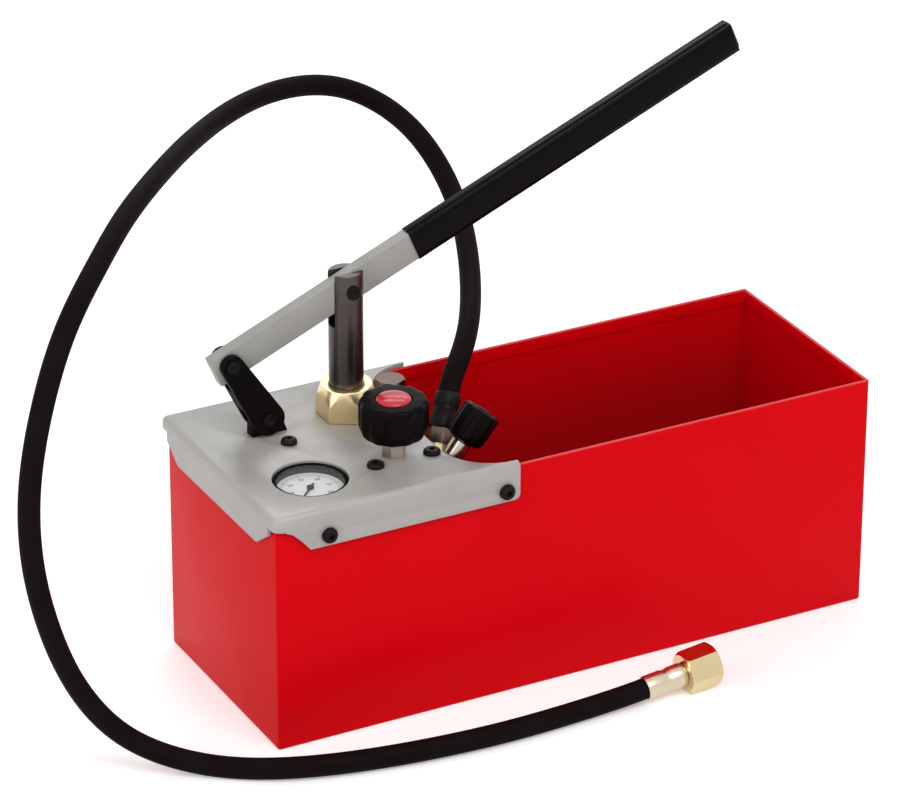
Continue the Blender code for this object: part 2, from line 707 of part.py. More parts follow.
def make_cover_plate():
    body = box("cover_plate", (PLATE_LEFT, PLATE_FRONT, PLATE_LOW - PLATE_BEND),
               (PLATE_FAR, PLATE_BACK, PLATE_TOP), finish=GREY_PAINT,
               fold=PLATE_BEND, fold_steps=3)
    inner_bend = PLATE_BEND - PLATE_SHEET
    far = PLATE_FAR + OVERRUN
    hollow = box("plate_hollow",
                 (PLATE_LEFT + PLATE_SHEET, PLATE_FRONT + PLATE_SHEET, PLATE_LOW - PLATE_DEPTH),
                 (far, PLATE_BACK - PLATE_SHEET, PLATE_UNDER), fold=inner_bend, fold_steps=2)
    trim = box("plate_trim", (PLATE_LEFT - OVERRUN, PLATE_FRONT - OVERRUN, PLATE_LOW - PLATE_DEPTH),
               (far, PLATE_BACK + OVERRUN, PLATE_LOW))
    cut(body, hollow, trim)
    cut(body, *plate_outline_cutters())
    for centre_x, centre_y, radius, name in plate_holes():
        cut(body, rod("plate_hole_" + name, radius, -PLATE_DEPTH, OVERRUN,
                      frame_at((centre_x, centre_y, PLATE_TOP)), sides=ROUND))
    slot_half = BRACKET_THICKNESS / 2 + SLIDE_FIT
    cut(body, box("plate_slot",
                  (BRACKET_LEFT - SLIDE_FIT, RAM_Y - slot_half, PLATE_UNDER - OVERRUN),
                  (BRACKET_RIGHT + SLIDE_FIT, RAM_Y + slot_half, PLATE_TOP + OVERRUN)))
    return body


def plate_outline_cutters():
    ledge = FRONT + EAR_LEDGE
    far = PLATE_FAR + OVERRUN
    right_side = arc((PLATE_EDGE + EAR_SWEEP, ledge + EAR_SWEEP), EAR_SWEEP, 180, 270, 8)
    right_side += [(far, ledge)]
    right_side += [(x, -y) for x, y in reversed(right_side)]
    cutters = [flat("plate_right_side", right_side, PLATE_LOW - OVERRUN, PLATE_TOP + OVERRUN)]
    ear_end = arc((EAR_RIGHT - FLANGE_CORNER, PLATE_LOW + FLANGE_CORNER), FLANGE_CORNER, 270, 360, 3)
    ear_end += [(EAR_RIGHT, PLATE_TOP + OVERRUN), (far, PLATE_TOP + OVERRUN),
                (far, PLATE_LOW - OVERRUN), (EAR_RIGHT - FLANGE_CORNER, PLATE_LOW - OVERRUN)]
    corner = flange_relief(PLATE_LEFT, LEFT + FRONT_RELIEF_RUN, FRONT_RELIEF_DEPTH,
                           FRONT_RELIEF_SHARES)
    for side, wall in (("front", FRONT), ("back", BACK)):
        face = Matrix.Translation((0, wall, 0)) @ Matrix.Rotation(math.pi / 2, 4, "X")
        cutters.append(flat(f"plate_{side}_relief", corner, -OVERRUN, OVERRUN, face))
        cutters.append(flat(f"plate_{side}_ear_end", ear_end, -OVERRUN, OVERRUN, face))
    face = Matrix.Translation((LEFT, 0, 0)) @ Matrix.Rotation(math.pi / 2, 4, "Z")
    face = face @ Matrix.Rotation(math.pi / 2, 4, "X")
    corner = flange_relief(PLATE_FRONT, FRONT + LEFT_RELIEF_RUN, LEFT_RELIEF_DEPTH,
                           LEFT_RELIEF_SHARES)
    for side, mirror in (("front", 1), ("back", -1)):
        outline = [(mirror * along, height) for along, height in corner]
        cutters.append(flat(f"plate_left_relief_{side}", outline, -OVERRUN, OVERRUN, face))
    return cutters


def flange_relief(corner, reach, depth, shares):
    """What is cut from a flange beside a corner of the plate: deepest at the corner itself."""
    edge = [(corner + (reach - corner) * along, PLATE_LOW + depth * up) for along, up in shares]
    return (
        [(corner - OVERRUN, PLATE_LOW - OVERRUN), (reach, PLATE_LOW - OVERRUN)]
        + list(reversed(edge))
        + [(corner - OVERRUN, PLATE_LOW + depth)]
    )


def plate_holes():
    yield RAM_X, RAM_Y, GLAND_THREAD_RADIUS + CLEAR, "gland"
    yield SHUTOFF.x, SHUTOFF.y, NECK_STEM_RADIUS + CLEAR, "shutoff"
    yield GAUGE_X, GAUGE_Y, GAUGE_RADIUS + GAUGE_HOLE_GAP, "gauge"
    for name, x, y in block_screw_places():
        yield x, y, BLOCK_SCREW_SHANK + CLEAR, name
    for name, x, y in bracket_screw_places():
        yield x, y, BRACKET_SCREW_SHANK + CLEAR, name


def block_screw_places():
    front, back = BLOCK_FRONT + BLOCK_SCREW_FRONT_INSET, BLOCK_BACK - BLOCK_SCREW_BACK_INSET
    yield "block_screw_1", BLOCK_LEFT + BLOCK_SCREW_LEFT_INSET, front
    yield "block_screw_2", BLOCK_RIGHT - BLOCK_SCREW_RIGHT_INSET, front
    yield "block_screw_3", BLOCK_RIGHT - BLOCK_SCREW_BACK_FROM_RIGHT, back


def bracket_screw_places():
    x = LINK_FOOT.x + BRACKET_SCREW_FROM_PIN
    yield "bracket_screw_front", x, RAM_Y - BRACKET_SCREW_SPREAD
    yield "bracket_screw_back", x, RAM_Y + BRACKET_SCREW_SPREAD


def make_flange_screws(tank, plate):
    """Screws in from outside through flange and wall, each with its nut inside the tank."""
    for side, wall, way in (("front", FRONT, -1), ("back", BACK, 1)):
        for end, x in (("left", LEFT + FLANGE_SCREW_FROM_LEFT),
                       ("right", EAR_RIGHT - FLANGE_SCREW_FROM_EAR)):
            face = wall + way * (PLATE_FIT + PLATE_SHEET)
            height = PLATE_TOP - FLANGE_SCREW_DROP
            frame = frame_at((x, face, height), (0, way, 0))
            facing = frame @ Matrix.Rotation(math.pi / SMALL, 4, "Z")
            inside = frame_at((x, wall - way * TANK_SHEET, height), (0, -way, 0))
            length = PLATE_FIT + PLATE_SHEET + TANK_SHEET + FLANGE_NUT_HEIGHT + CLEAR
            hole = FLANGE_SCREW_SHANK + CLEAR
            cut(tank, rod(f"tank_hole_{side}_{end}", hole, -length, OVERRUN, facing))
            cut(plate, rod(f"flange_hole_{side}_{end}", hole, -PLATE_BEND, OVERRUN, facing))
            socket_screw(f"flange_screw_{side}_{end}", frame, FLANGE_SCREW_HEAD,
                         FLANGE_SCREW_HEAD_HEIGHT, FLANGE_SCREW_SHANK, length)
            nut(f"flange_nut_{side}_{end}", inside, FLANGE_NUT_FLATS, FLANGE_NUT_HEIGHT,
                hole, ZINC)


# Valve block: one brass casting under the plate, with bosses for the relief valve and the hose


def make_valve_block():
    body = box("valve_block", (BLOCK_LEFT, BLOCK_FRONT, BLOCK_LOW),
               (BLOCK_RIGHT, BLOCK_BACK, BLOCK_TOP), finish=BRASS, fold=BLOCK_ROUND)
    ledge = box("block_ledge", (BLOCK_RIGHT - OVERRUN, RAM_Y + LEDGE_BEHIND_RAM, LEDGE_LOW),
                (BLOCK_RIGHT + LEDGE_LENGTH, BLOCK_BACK - BLOCK_ROUND, LEDGE_TOP),
                fold=BLOCK_ROUND)
    neck_seat = -RELIEF_NECK_LENGTH - CLEAR
    relief = rod("relief_boss", RELIEF_BOSS_RADIUS, neck_seat - RELIEF_BOSS_LENGTH, neck_seat,
                 frame_at(RELIEF, RELIEF_WAY), sides=ROUND)
    outlet = frame_at(OUTLET, EXIT_WAY)
    hose = rod("outlet_boss", OUTLET_BOSS_RADIUS, -OUTLET_BOSS_LENGTH, 0, outlet, sides=ROUND)
    join(body, ledge, relief, hose)
    cut(body, box("block_underside", (LEFT, FRONT, BLOCK_LOW - OUTLET_BOSS_LENGTH),
                  (PLATE_FAR, BACK, BLOCK_LOW)))
    ram = frame_at((RAM_X, RAM_Y, 0))
    cut(body,
        rod("block_packing_bore", GLAND_THREAD_RADIUS + CLEAR, PACKING_LOW - CLEAR,
            BLOCK_TOP + OVERRUN, ram, sides=FINE),
        rod("block_ram_bore", RAM_RADIUS + CLEAR, BLOCK_LOW - OVERRUN, BLOCK_TOP, ram, sides=FINE),
        rod("block_cylinder_bore", CYLINDER_BORE + CYLINDER_SPIGOT_WALL + CLEAR,
            BLOCK_LOW - OVERRUN, BLOCK_LOW + CYLINDER_SPIGOT, ram, sides=FINE),
        rod("block_shutoff_bore", NECK_STEM_RADIUS + CLEAR,
            BLOCK_TOP - NECK_STEM_LENGTH - CLEAR, BLOCK_TOP + OVERRUN,
            frame_at((SHUTOFF.x, SHUTOFF.y, 0))),
        rod("block_shutoff_port", SPINDLE_RADIUS,
            BLOCK_TOP - NECK_STEM_LENGTH - VALVE_PORT_DEPTH, BLOCK_TOP,
            frame_at((SHUTOFF.x, SHUTOFF.y, 0))),
        rod("block_relief_bore", NECK_STEM_RADIUS + CLEAR, neck_seat - NECK_STEM_LENGTH,
            neck_seat + OVERRUN, frame_at(RELIEF, RELIEF_WAY)),
        rod("block_relief_port", SPINDLE_RADIUS,
            neck_seat - NECK_STEM_LENGTH - VALVE_PORT_DEPTH, neck_seat,
            frame_at(RELIEF, RELIEF_WAY)),
        rod("block_outlet_bore", NIPPLE_STEM_RADIUS + CLEAR, -NIPPLE_STEM_LENGTH - CLEAR,
            OVERRUN, outlet),
        rod("block_gauge_bore", GAUGE_STEM_RADIUS + CLEAR, -OVERRUN,
            GAUGE_STEM_SCREWED + CLEAR, gauge_stem_frame()),
        rod("block_delivery_bore", DELIVERY_BORE, LEDGE_TOP - DELIVERY_BORE_DEPTH,
            LEDGE_TOP + OVERRUN, frame_at((DELIVERY_X, DELIVERY_Y, 0))),
        rod("block_delivery_port", DELIVERY_SEAT_RADIUS, LEDGE_LOW - OVERRUN, LEDGE_TOP,
            frame_at((DELIVERY_X, DELIVERY_Y, 0))))
    for name, x, y in block_screw_places():
        cut(body, rod(name + "_bore", BLOCK_SCREW_SHANK + CLEAR,
                      PLATE_TOP - BLOCK_SCREW_LENGTH - CLEAR, BLOCK_TOP + OVERRUN,
                      frame_at((x, y, 0))))


def gauge_stem_frame():
    """At the block's left face, on the gauge stem's axis, pointing into the block."""
    return frame_at((BLOCK_LEFT, GAUGE_Y, GAUGE_TOP - GAUGE_STEM_BELOW_TOP), (1, 0, 0))


def make_plate_screws():
    for name, x, y in block_screw_places():
        socket_screw(name, frame_at((x, y, PLATE_TOP)), BLOCK_SCREW_HEAD,
                     BLOCK_SCREW_HEAD_HEIGHT, BLOCK_SCREW_SHANK, BLOCK_SCREW_LENGTH)
    for name, x, y in bracket_screw_places():
        socket_screw(name, frame_at((x, y, PLATE_TOP)), BRACKET_SCREW_HEAD,
                     BRACKET_SCREW_HEAD_HEIGHT, BRACKET_SCREW_SHANK,
                     PLATE_SHEET + BRACKET_BASE + CLEAR)


# Gland: the brass nut that presses the packing on the ram


def make_gland():
    ram = frame_at((RAM_X, RAM_Y, 0))
    top = PLATE_TOP + GLAND_TOP_HEIGHT
    corner = GLAND_FLATS / ROOT_THREE
    nut_body = hexagon("gland_nut", GLAND_FLATS, GLAND_BASE, top, ram, BRASS)
    keep_inside(nut_body, turned("gland_chamfer", [
        (0, top), (GLAND_FLATS / 2 - GLAND_TOP_INSET, top), (corner + CLEAR, top - GLAND_CHAMFER_DROP),
        (corner + CLEAR, GLAND_BASE - OVERRUN), (0, GLAND_BASE - OVERRUN),
    ], ram, steps=FINE, closed=False))
    join(nut_body, rod("gland_thread", GLAND_THREAD_RADIUS, GLAND_END, GLAND_BASE + CLEAR, ram,
                       sides=FINE))
    cut(nut_body,
        rod("gland_bore", GLAND_BORE, GLAND_END - OVERRUN, top + OVERRUN, ram, sides=FINE),
        turned("gland_mouth", [
            (0, top + OVERRUN), (GLAND_BORE + GLAND_MOUTH + OVERRUN, top + OVERRUN),
            (GLAND_BORE, top - GLAND_MOUTH), (0, top - GLAND_MOUTH),
        ], ram, steps=FINE, closed=False))
    turned("gland_packing", [
        (GLAND_THREAD_RADIUS, PACKING_TOP), (GLAND_THREAD_RADIUS, PACKING_LOW),
        (GLAND_BORE, PACKING_LOW), (GLAND_BORE, PACKING_TOP),
    ], ram, FIBRE, FINE)


# Ram with its fork, and the piston seal on its foot


def make_ram():
    top, base = RAM_OVER_PIN, PISTON_LOW - FORK_PIN.z
    piston_top = base + PISTON_LENGTH
    groove_low = base + (PISTON_LENGTH - PISTON_GROOVE) / 2
    groove_high = groove_low + PISTON_GROOVE
    groove = PISTON_RADIUS - PISTON_GROOVE_DEPTH
    bevel = PISTON_GROOVE_DEPTH / 3
    body = turned("ram", [
        (0, top), (RAM_RADIUS - bevel, top), (RAM_RADIUS, top - bevel), (RAM_RADIUS, piston_top),
        (PISTON_RADIUS, piston_top), (PISTON_RADIUS, groove_high), (groove, groove_high),
        (groove, groove_low), (PISTON_RADIUS, groove_low), (PISTON_RADIUS, base), (0, base),
    ], frame_at(FORK_PIN), DARK_STEEL, FINE, closed=False)
    reach = RAM_RADIUS + OVERRUN
    cut(body,
        box("ram_slot", (-reach, -RAM_SLOT / 2, -LEVER_HEIGHT / 2 - FORK_BELOW_LEVER),
            (reach, RAM_SLOT / 2, top + OVERRUN), frame_at(FORK_PIN)),
        rod("ram_pin_hole", FORK_PIN_RADIUS + CLEAR, -reach, reach, side_frame(FORK_PIN)))
    lip = CLEAR
    turned("piston_seal", [
        (PISTON_RADIUS + CLEAR / 2, groove_high - lip), (PISTON_RADIUS + CLEAR / 2, groove_low + lip),
        (groove + lip, groove_low + lip), (groove + lip, groove_high - lip),
    ], frame_at(FORK_PIN), BLACK_RUBBER, FINE)


# Cylinder, foot valve, strainer and ball, in the tank's water


def make_cylinder():
    ram = frame_at((RAM_X, RAM_Y, 0))
    spigot = CYLINDER_BORE + CYLINDER_SPIGOT_WALL
    turned("pump_cylinder", [
        (spigot, CYLINDER_TOP + CYLINDER_SPIGOT), (spigot, CYLINDER_TOP),
        (CYLINDER_RADIUS, CYLINDER_TOP), (CYLINDER_RADIUS, CYLINDER_END),
        (CYLINDER_BORE, CYLINDER_END), (CYLINDER_BORE, CYLINDER_TOP + CYLINDER_SPIGOT),
    ], ram, BRASS, FINE)
    flange_low = FOOT_TOP - FOOT_FLANGE
    seat_rise = FOOT_CHAMBER_RADIUS - FOOT_PORT_RADIUS
    turned("foot_valve", [
        (PISTON_RADIUS, FOOT_TOP + FOOT_SPIGOT), (PISTON_RADIUS, FOOT_TOP),
        (CYLINDER_RADIUS, FOOT_TOP), (CYLINDER_RADIUS, flange_low),
        (FOOT_STEM_RADIUS, flange_low), (FOOT_STEM_RADIUS, FOOT_END),
        (FOOT_PORT_RADIUS, FOOT_END), (FOOT_PORT_RADIUS, FOOT_SEAT),
        (FOOT_CHAMBER_RADIUS, FOOT_SEAT + seat_rise), (FOOT_CHAMBER_RADIUS, FOOT_TOP),
        (FOOT_PORT_RADIUS, FOOT_TOP), (FOOT_PORT_RADIUS, FOOT_TOP + FOOT_SPIGOT),
    ], ram, BRASS, ROUND)
    ball("suction_ball", FOOT_BALL_RADIUS,
         (RAM_X, RAM_Y, seat_ball_height(FOOT_SEAT, FOOT_PORT_RADIUS, FOOT_BALL_RADIUS)))
    inner = STRAINER_RADIUS - STRAINER_WALL
    floor = STRAINER_LOW + STRAINER_WALL
    hold = FOOT_STEM_RADIUS + CLEAR
    roof = STRAINER_HIGH - STRAINER_WALL
    strainer = turned("suction_strainer", [
        (0, floor), (inner, floor), (inner, roof), (hold, roof), (hold, STRAINER_HIGH),
        (STRAINER_RADIUS, STRAINER_HIGH), (STRAINER_RADIUS, STRAINER_LOW), (0, STRAINER_LOW),
    ], ram, ZINC, ROUND, closed=False)
    slot_low, slot_high = floor + STRAINER_WALL, roof - STRAINER_WALL
    for i in range(STRAINER_SLOTS // 2):
        turn = Matrix.Rotation(math.pi * i / (STRAINER_SLOTS // 2), 4, "Z")
        half = STRAINER_SLOT_WIDTH / 2
        reach = STRAINER_RADIUS + OVERRUN
        cut(strainer, box(f"strainer_slot_{i}", (-reach, -half, slot_low),
                          (reach, half, slot_high), ram @ turn))


def seat_ball_height(seat, port, radius):
    """Where a ball rests on the 45 degree cone that widens upwards from a port, plus clearance."""
    return seat + radius * math.sqrt(2) - port + 2 * CLEAR


def ball(name, radius, place):
    work = bmesh.new()
    bmesh.ops.create_icosphere(work, subdivisions=2, radius=radius)
    return piece(name, mesh_of(work, name), frame_at(place), BRIGHT_STEEL)


def make_delivery_valve():
    seat = LEDGE_TOP - DELIVERY_BORE_DEPTH
    sunk = math.sqrt(DELIVERY_BALL_RADIUS**2 - DELIVERY_SEAT_RADIUS**2)
    ball("delivery_ball", DELIVERY_BALL_RADIUS, (DELIVERY_X, DELIVERY_Y, seat + sunk + CLEAR))
    axis = frame_at((DELIVERY_X, DELIVERY_Y, LEDGE_TOP))
    top = CLEAR + PLUG_HEAD_HEIGHT
    corner = PLUG_FLATS / ROOT_THREE
    plug = hexagon("hex_plug", PLUG_FLATS, CLEAR, top, axis, NICKEL)
    keep_inside(plug, turned("plug_chamfer", [
        (0, top), (PLUG_FLATS / 2, top), (corner + CLEAR, top - (corner - PLUG_FLATS / 2)),
        (corner + CLEAR, -OVERRUN), (0, -OVERRUN),
    ], axis, closed=False))
    join(plug, rod("plug_stem", DELIVERY_BORE - CLEAR, -PLUG_STEM_LENGTH, 2 * CLEAR, axis))


# Lever with its grip


def make_lever():
    frame = side_frame(FORK_PIN, LEVER_RISE)
    half = LEVER_HEIGHT / 2
    low, high = -LEVER_TAIL_ARM - LEVER_TAIL_END + LEVER_CORNER, LEVER_REACH - LEVER_CORNER
    inner = half - LEVER_CORNER
    corners = ((low, -inner, 180, 270), (high, -inner, 270, 360), (high, inner, 0, 90),
               (low, inner, 90, 180))
    outline = []
    for x, y, start, end in corners:
        outline += arc((x, y), LEVER_CORNER, start, end, 3)
    lever = flat("lever", outline, -LEVER_THICKNESS / 2, LEVER_THICKNESS / 2, frame, BRIGHT_STEEL)
    tail = frame.inverted() @ LINK_TOP
    reach = LEVER_THICKNESS
    slot = arc((tail.x, tail.y), LINK_PIN_RADIUS + TAIL_SLOT_PLAY_ACROSS, -90, 90, 6)
    slot += arc((tail.x - TAIL_SLOT_PLAY_ALONG, tail.y),
                LINK_PIN_RADIUS + TAIL_SLOT_PLAY_ACROSS, 90, 270, 6)
    cut(lever,
        rod("lever_pin_hole", FORK_PIN_RADIUS + LEVER_BORE_PLAY, -reach, reach, frame, sides=ROUND),
        flat("lever_tail_slot", slot, -reach, reach, frame))
    inner_height, inner_thickness = half + CLEAR, LEVER_THICKNESS / 2 + CLEAR
    outer_height, outer_thickness = inner_height + GRIP_WALL, inner_thickness + GRIP_WALL
    end = LEVER_REACH + CLEAR
    grip = box("lever_grip", (GRIP_FROM_PIN, -outer_height, -outer_thickness),
               (end + GRIP_END, outer_height, outer_thickness), frame, BLACK_PLASTIC,
               fold=GRIP_ROUND)
    cut(grip, box("grip_inside", (GRIP_FROM_PIN - OVERRUN, -inner_height, -inner_thickness),
                  (end, inner_height, inner_thickness), frame))


# Pins and their retaining clips


def pin(name, centre, radius, head, head_height, half_span):
    """A headed pin across the mechanism, with its head at the front and a clip behind."""
    frame = side_frame(centre)
    tail = -half_span - 2 * CLEAR - 2 * CLIP_THICKNESS
    groove_high = -half_span - CLEAR
    groove_low = groove_high - CLIP_THICKNESS - 2 * CLEAR
    neck = radius - CLIP_THICKNESS
    turned(name, [
        (0, half_span + CLEAR + head_height), (head, half_span + CLEAR + head_height),
        (head, half_span + CLEAR), (radius, half_span + CLEAR), (radius, groove_high),
        (neck, groove_high), (neck, groove_low), (radius, groove_low), (radius, tail), (0, tail),
    ], frame, BLACK_OXIDE, SMALL, closed=False)
    outer = radius + CLIP_WIDTH
    clip_low = groove_low + CLEAR
    clip = turned(name + "_clip", [
        (outer, groove_high - CLEAR), (outer, clip_low), (neck + CLEAR, clip_low),
        (neck + CLEAR, groove_high - CLEAR),
    ], frame, BLACK_OXIDE, SMALL)
    cut(clip, box(name + "_clip_gap", (0, -neck / 2, clip_low - OVERRUN),
                  (outer + OVERRUN, neck / 2, groove_high + OVERRUN), frame))


def make_pins():
    pin("fork_pin", FORK_PIN, FORK_PIN_RADIUS, FORK_PIN_HEAD, FORK_PIN_HEAD_HEIGHT, RAM_RADIUS)
    for name, centre in (("link_top_pin", LINK_TOP), ("link_foot_pin", LINK_FOOT)):
        pin(name, centre, LINK_PIN_RADIUS, LINK_PIN_HEAD, LINK_PIN_HEAD_HEIGHT, LINK_THICKNESS / 2)


# Link: a forged bar with a clevis at each end


def make_link():
    run = LINK_TOP - LINK_FOOT
    length = run.length
    rise = math.atan2(run.z, run.x)
    frame = side_frame(LINK_FOOT, rise)
    lean = math.degrees(math.asin((LINK_FOOT_ROUND - LINK_TOP_ROUND) / length))
    outline = arc((0, 0), LINK_FOOT_ROUND, 90 - lean, 270 + lean, 10)
    outline += arc((length, 0), LINK_TOP_ROUND, -90 + lean, 90 - lean, 8)
    half = LINK_THICKNESS / 2
    link = flat("link", outline, -half, half, frame, BLACK_OXIDE)
    foot, top = LINK_FOOT_ROUND + OVERRUN, LINK_TOP_ROUND + OVERRUN
    foot_half = BRACKET_THICKNESS / 2 + LINK_SIDE_GAP
    top_half = LEVER_THICKNESS / 2 + LINK_SIDE_GAP
    foot_depth = BRACKET_ROUND + LINK_FOOT_SLOT_PAST_LUG
    top_depth = LEVER_HEIGHT / 2 + LINK_TOP_SLOT_PAST_LEVER
    cut(link,
        box("link_foot_slot", (-foot, -foot, -foot_half), (foot_depth, foot, foot_half), frame),
        box("link_top_slot", (length - top_depth, -foot, -top_half),
            (length + top, foot, top_half), frame),
        rod("link_foot_hole", LINK_PIN_RADIUS + CLEAR, -half - OVERRUN, half + OVERRUN, frame),
        rod("link_top_hole", LINK_PIN_RADIUS + CLEAR, -half - OVERRUN, half + OVERRUN,
            side_frame(LINK_TOP, rise)))


# Bracket: a lug that stands through the plate on a base screwed up under it


def make_bracket():
    low = PLATE_UNDER - CLEAR - BRACKET_BASE
    base = PLATE_UNDER - CLEAR
    lug_foot = PLATE_TOP + CLEAR
    centre = (LINK_FOOT.x, LINK_FOOT.z)
    outline = [(BRACKET_LEFT, low), (BRACKET_RIGHT, low), (BRACKET_RIGHT, lug_foot)]
    outline += arc(centre, BRACKET_ROUND, 15, 165, 8)
    outline += [(BRACKET_LEFT, lug_foot)]
    half = BRACKET_THICKNESS / 2
    body = flat("link_bracket", outline, -half, half, side_frame((0, RAM_Y, 0)), BLACK_OXIDE)
    join(body, box("bracket_base",
                   (BRACKET_LEFT - half, RAM_Y - BRACKET_BASE_HALF_DEPTH, low - CLEAR),
                   (BRACKET_RIGHT + half, RAM_Y + BRACKET_BASE_HALF_DEPTH, base)))
    cut(body, rod("bracket_pin_hole", LINK_PIN_RADIUS + CLEAR, -half - OVERRUN, half + OVERRUN,
                  side_frame(LINK_FOOT)))
    for name, x, y in bracket_screw_places():
        cut(body, rod(name + "_hole", BRACKET_SCREW_SHANK + CLEAR, low - OVERRUN,
                      base + OVERRUN, frame_at((x, y, 0))))


# Valves: a nickelled neck, a spindle that screws in it, and a fluted knob with a red cap


def knob_outline(radius):
    steps = KNOB_LOBES * 4
    points = []
    for i in range(steps):
        angle = 2 * math.pi * i / steps
        reach = radius * (1 - KNOB_LOBE_SHARE * (1 - math.cos(KNOB_LOBES * angle)) / 2)
        points.append((reach * math.cos(angle), reach * math.sin(angle)))
    return points


def make_valve(name, frame, radius, height, cap_finish):
    """The spindle, knob and cap of one valve, standing on the frame's origin."""
    knob = flat(name + "_knob", knob_outline(radius), 0, height, frame, BLACK_PLASTIC)
    form = [(out * (radius + CLEAR), up * height) for out, up in KNOB_FORM_SHARES]
    keep_inside(knob, turned(name + "_knob_form", form, frame, steps=FINE, closed=False))
    recess = height - KNOB_RECESS_DEPTH
    cap = radius * CAP_RADIUS_SHARE
    cut(knob,
        rod(name + "_knob_recess", cap + CAP_GAP, recess, height + OVERRUN, frame, sides=ROUND),
        rod(name + "_knob_bore", SPINDLE_RADIUS + SPINDLE_PLAY, -OVERRUN, SPINDLE_ABOVE + CLEAR,
            frame))
    low, rise = recess + CLEAR, radius * CAP_RISE_SHARE
    dome_shares = ((0, 1), (0.6, 0.85), (0.9, 0.6), (1, 0.4), (1, 0), (0, 0))
    turned(name + "_cap", [(cap * out, low + rise * up) for out, up in dome_shares],
           frame, cap_finish, closed=False)
    turned(name + "_spindle", [
        (0, SPINDLE_ABOVE), (SPINDLE_RADIUS, SPINDLE_ABOVE),
        (SPINDLE_RADIUS, SPINDLE_RADIUS - SPINDLE_BELOW), (0, -SPINDLE_BELOW),
    ], frame, BRIGHT_STEEL, SMALL, closed=False)


def make_shutoff_valve():
    frame = frame_at(SHUTOFF)
    make_valve("shutoff", frame, KNOB_RADIUS, KNOB_HEIGHT, RED_PLASTIC)
    base = PLATE_TOP + CLEAR - SHUTOFF.z
    end = BLOCK_TOP - NECK_STEM_LENGTH - SHUTOFF.z
    top = -KNOB_SEAT_GAP
    hex_top = top - NECK_COLLAR_HEIGHT
    neck = hexagon("shutoff_neck", NECK_FLATS, base, hex_top, frame, NICKEL, turn=math.pi / 9)
    join(neck,
         rod("shutoff_collar", NECK_COLLAR_RADIUS, hex_top - CLEAR, top, frame, sides=ROUND),
         rod("shutoff_stem", NECK_STEM_RADIUS, end, base + CLEAR, frame))
    cut(neck, rod("shutoff_neck_bore", SPINDLE_RADIUS + SPINDLE_PLAY, end - OVERRUN,
                  top + OVERRUN, frame))


def make_relief_valve():
    frame = frame_at(RELIEF, RELIEF_WAY)
    make_valve("relief", frame, SMALL_KNOB_RADIUS, SMALL_KNOB_HEIGHT, BLACK_PLASTIC)
    low = -RELIEF_NECK_LENGTH
    top = -KNOB_SEAT_GAP
    bore = SPINDLE_RADIUS + SPINDLE_PLAY
    turned("relief_neck", [
        (RELIEF_NECK_RADIUS - RELIEF_NECK_CHAMFER, top),
        (RELIEF_NECK_RADIUS, top - RELIEF_NECK_CHAMFER), (RELIEF_NECK_RADIUS, low),
        (NECK_STEM_RADIUS, low), (NECK_STEM_RADIUS, low - NECK_STEM_LENGTH),
        (bore, low - NECK_STEM_LENGTH), (bore, top),
    ], frame, NICKEL)


# Gauge: a black case sunk in the plate, held by its stem in the block


def make_gauge():
    frame = frame_at((GAUGE_X, GAUGE_Y, 0))
    low = GAUGE_TOP - GAUGE_DEPTH
    case_top = GAUGE_TOP - BEZEL_HEIGHT - CLEAR
    inner = GAUGE_RADIUS - GAUGE_WALL
    case = turned("gauge_case", [
        (GAUGE_RADIUS, case_top), (GAUGE_RADIUS, low + GAUGE_WALL),
        (GAUGE_RADIUS - GAUGE_WALL, low), (0, low), (0, low + GAUGE_WALL),
        (inner, low + GAUGE_WALL), (inner, case_top),
    ], frame, BLACK_PLASTIC, FINE)
    stem = gauge_stem_frame()
    reach = BLOCK_LEFT - GAUGE_X
    cut(case, rod("gauge_case_hole", GAUGE_STEM_RADIUS + CLEAR, -reach, 0, stem))
    lens_top = GAUGE_TOP - LENS_THICKNESS
    lens_low = lens_top - LENS_THICKNESS
    turned("gauge_bezel", [
        (GAUGE_RADIUS - CLEAR, GAUGE_TOP), (GAUGE_RADIUS, GAUGE_TOP - 2 * CLEAR),
        (GAUGE_RADIUS, case_top + CLEAR), (BEZEL_INNER + LENS_THICKNESS, case_top + CLEAR),
        (BEZEL_INNER + LENS_THICKNESS, lens_top + CLEAR),
        (BEZEL_INNER, lens_top + CLEAR), (BEZEL_INNER, GAUGE_TOP),
    ], frame, BLACK_PLASTIC, FINE)
    lens = BEZEL_INNER + LENS_THICKNESS - CLEAR
    turned("gauge_lens", [
        (0, lens_top), (lens, lens_top), (lens, lens_low), (0, lens_low),
    ], frame, CLEAR_PLASTIC, FINE, closed=False)
    dial_low = DIAL_TOP - DIAL_THICKNESS
    rib = inner - CLEAR
    dial = turned("gauge_dial", [
        (0, DIAL_TOP), (rib, DIAL_TOP), (rib, dial_low - DIAL_RIB_DROP),
        (rib - DIAL_RIB, dial_low - DIAL_RIB_DROP), (rib - DIAL_RIB, dial_low), (0, dial_low),
    ], frame, WHITE, FINE, closed=False)
    cut(dial, rod("dial_hole", NEEDLE_SPINDLE_RADIUS + CLEAR, low, GAUGE_TOP, frame))
    make_needle(frame)
    turned("gauge_stem", [
        (GAUGE_STEM_RADIUS, GAUGE_STEM_SCREWED),
        (GAUGE_STEM_RADIUS, GAUGE_RADIUS - GAUGE_STEM_SCREWED - reach),
        (0, GAUGE_RADIUS - GAUGE_STEM_SCREWED - reach), (0, GAUGE_STEM_SCREWED),
    ], stem, BRASS, SMALL)
    hex_middle = (GAUGE_RADIUS - reach) / 2
    half = GAUGE_STEM_HEX_LENGTH / 2
    join(bpy.data.objects["gauge_stem"],
         hexagon("gauge_stem_hex", GAUGE_STEM_FLATS, hex_middle - half, hex_middle + half, stem))


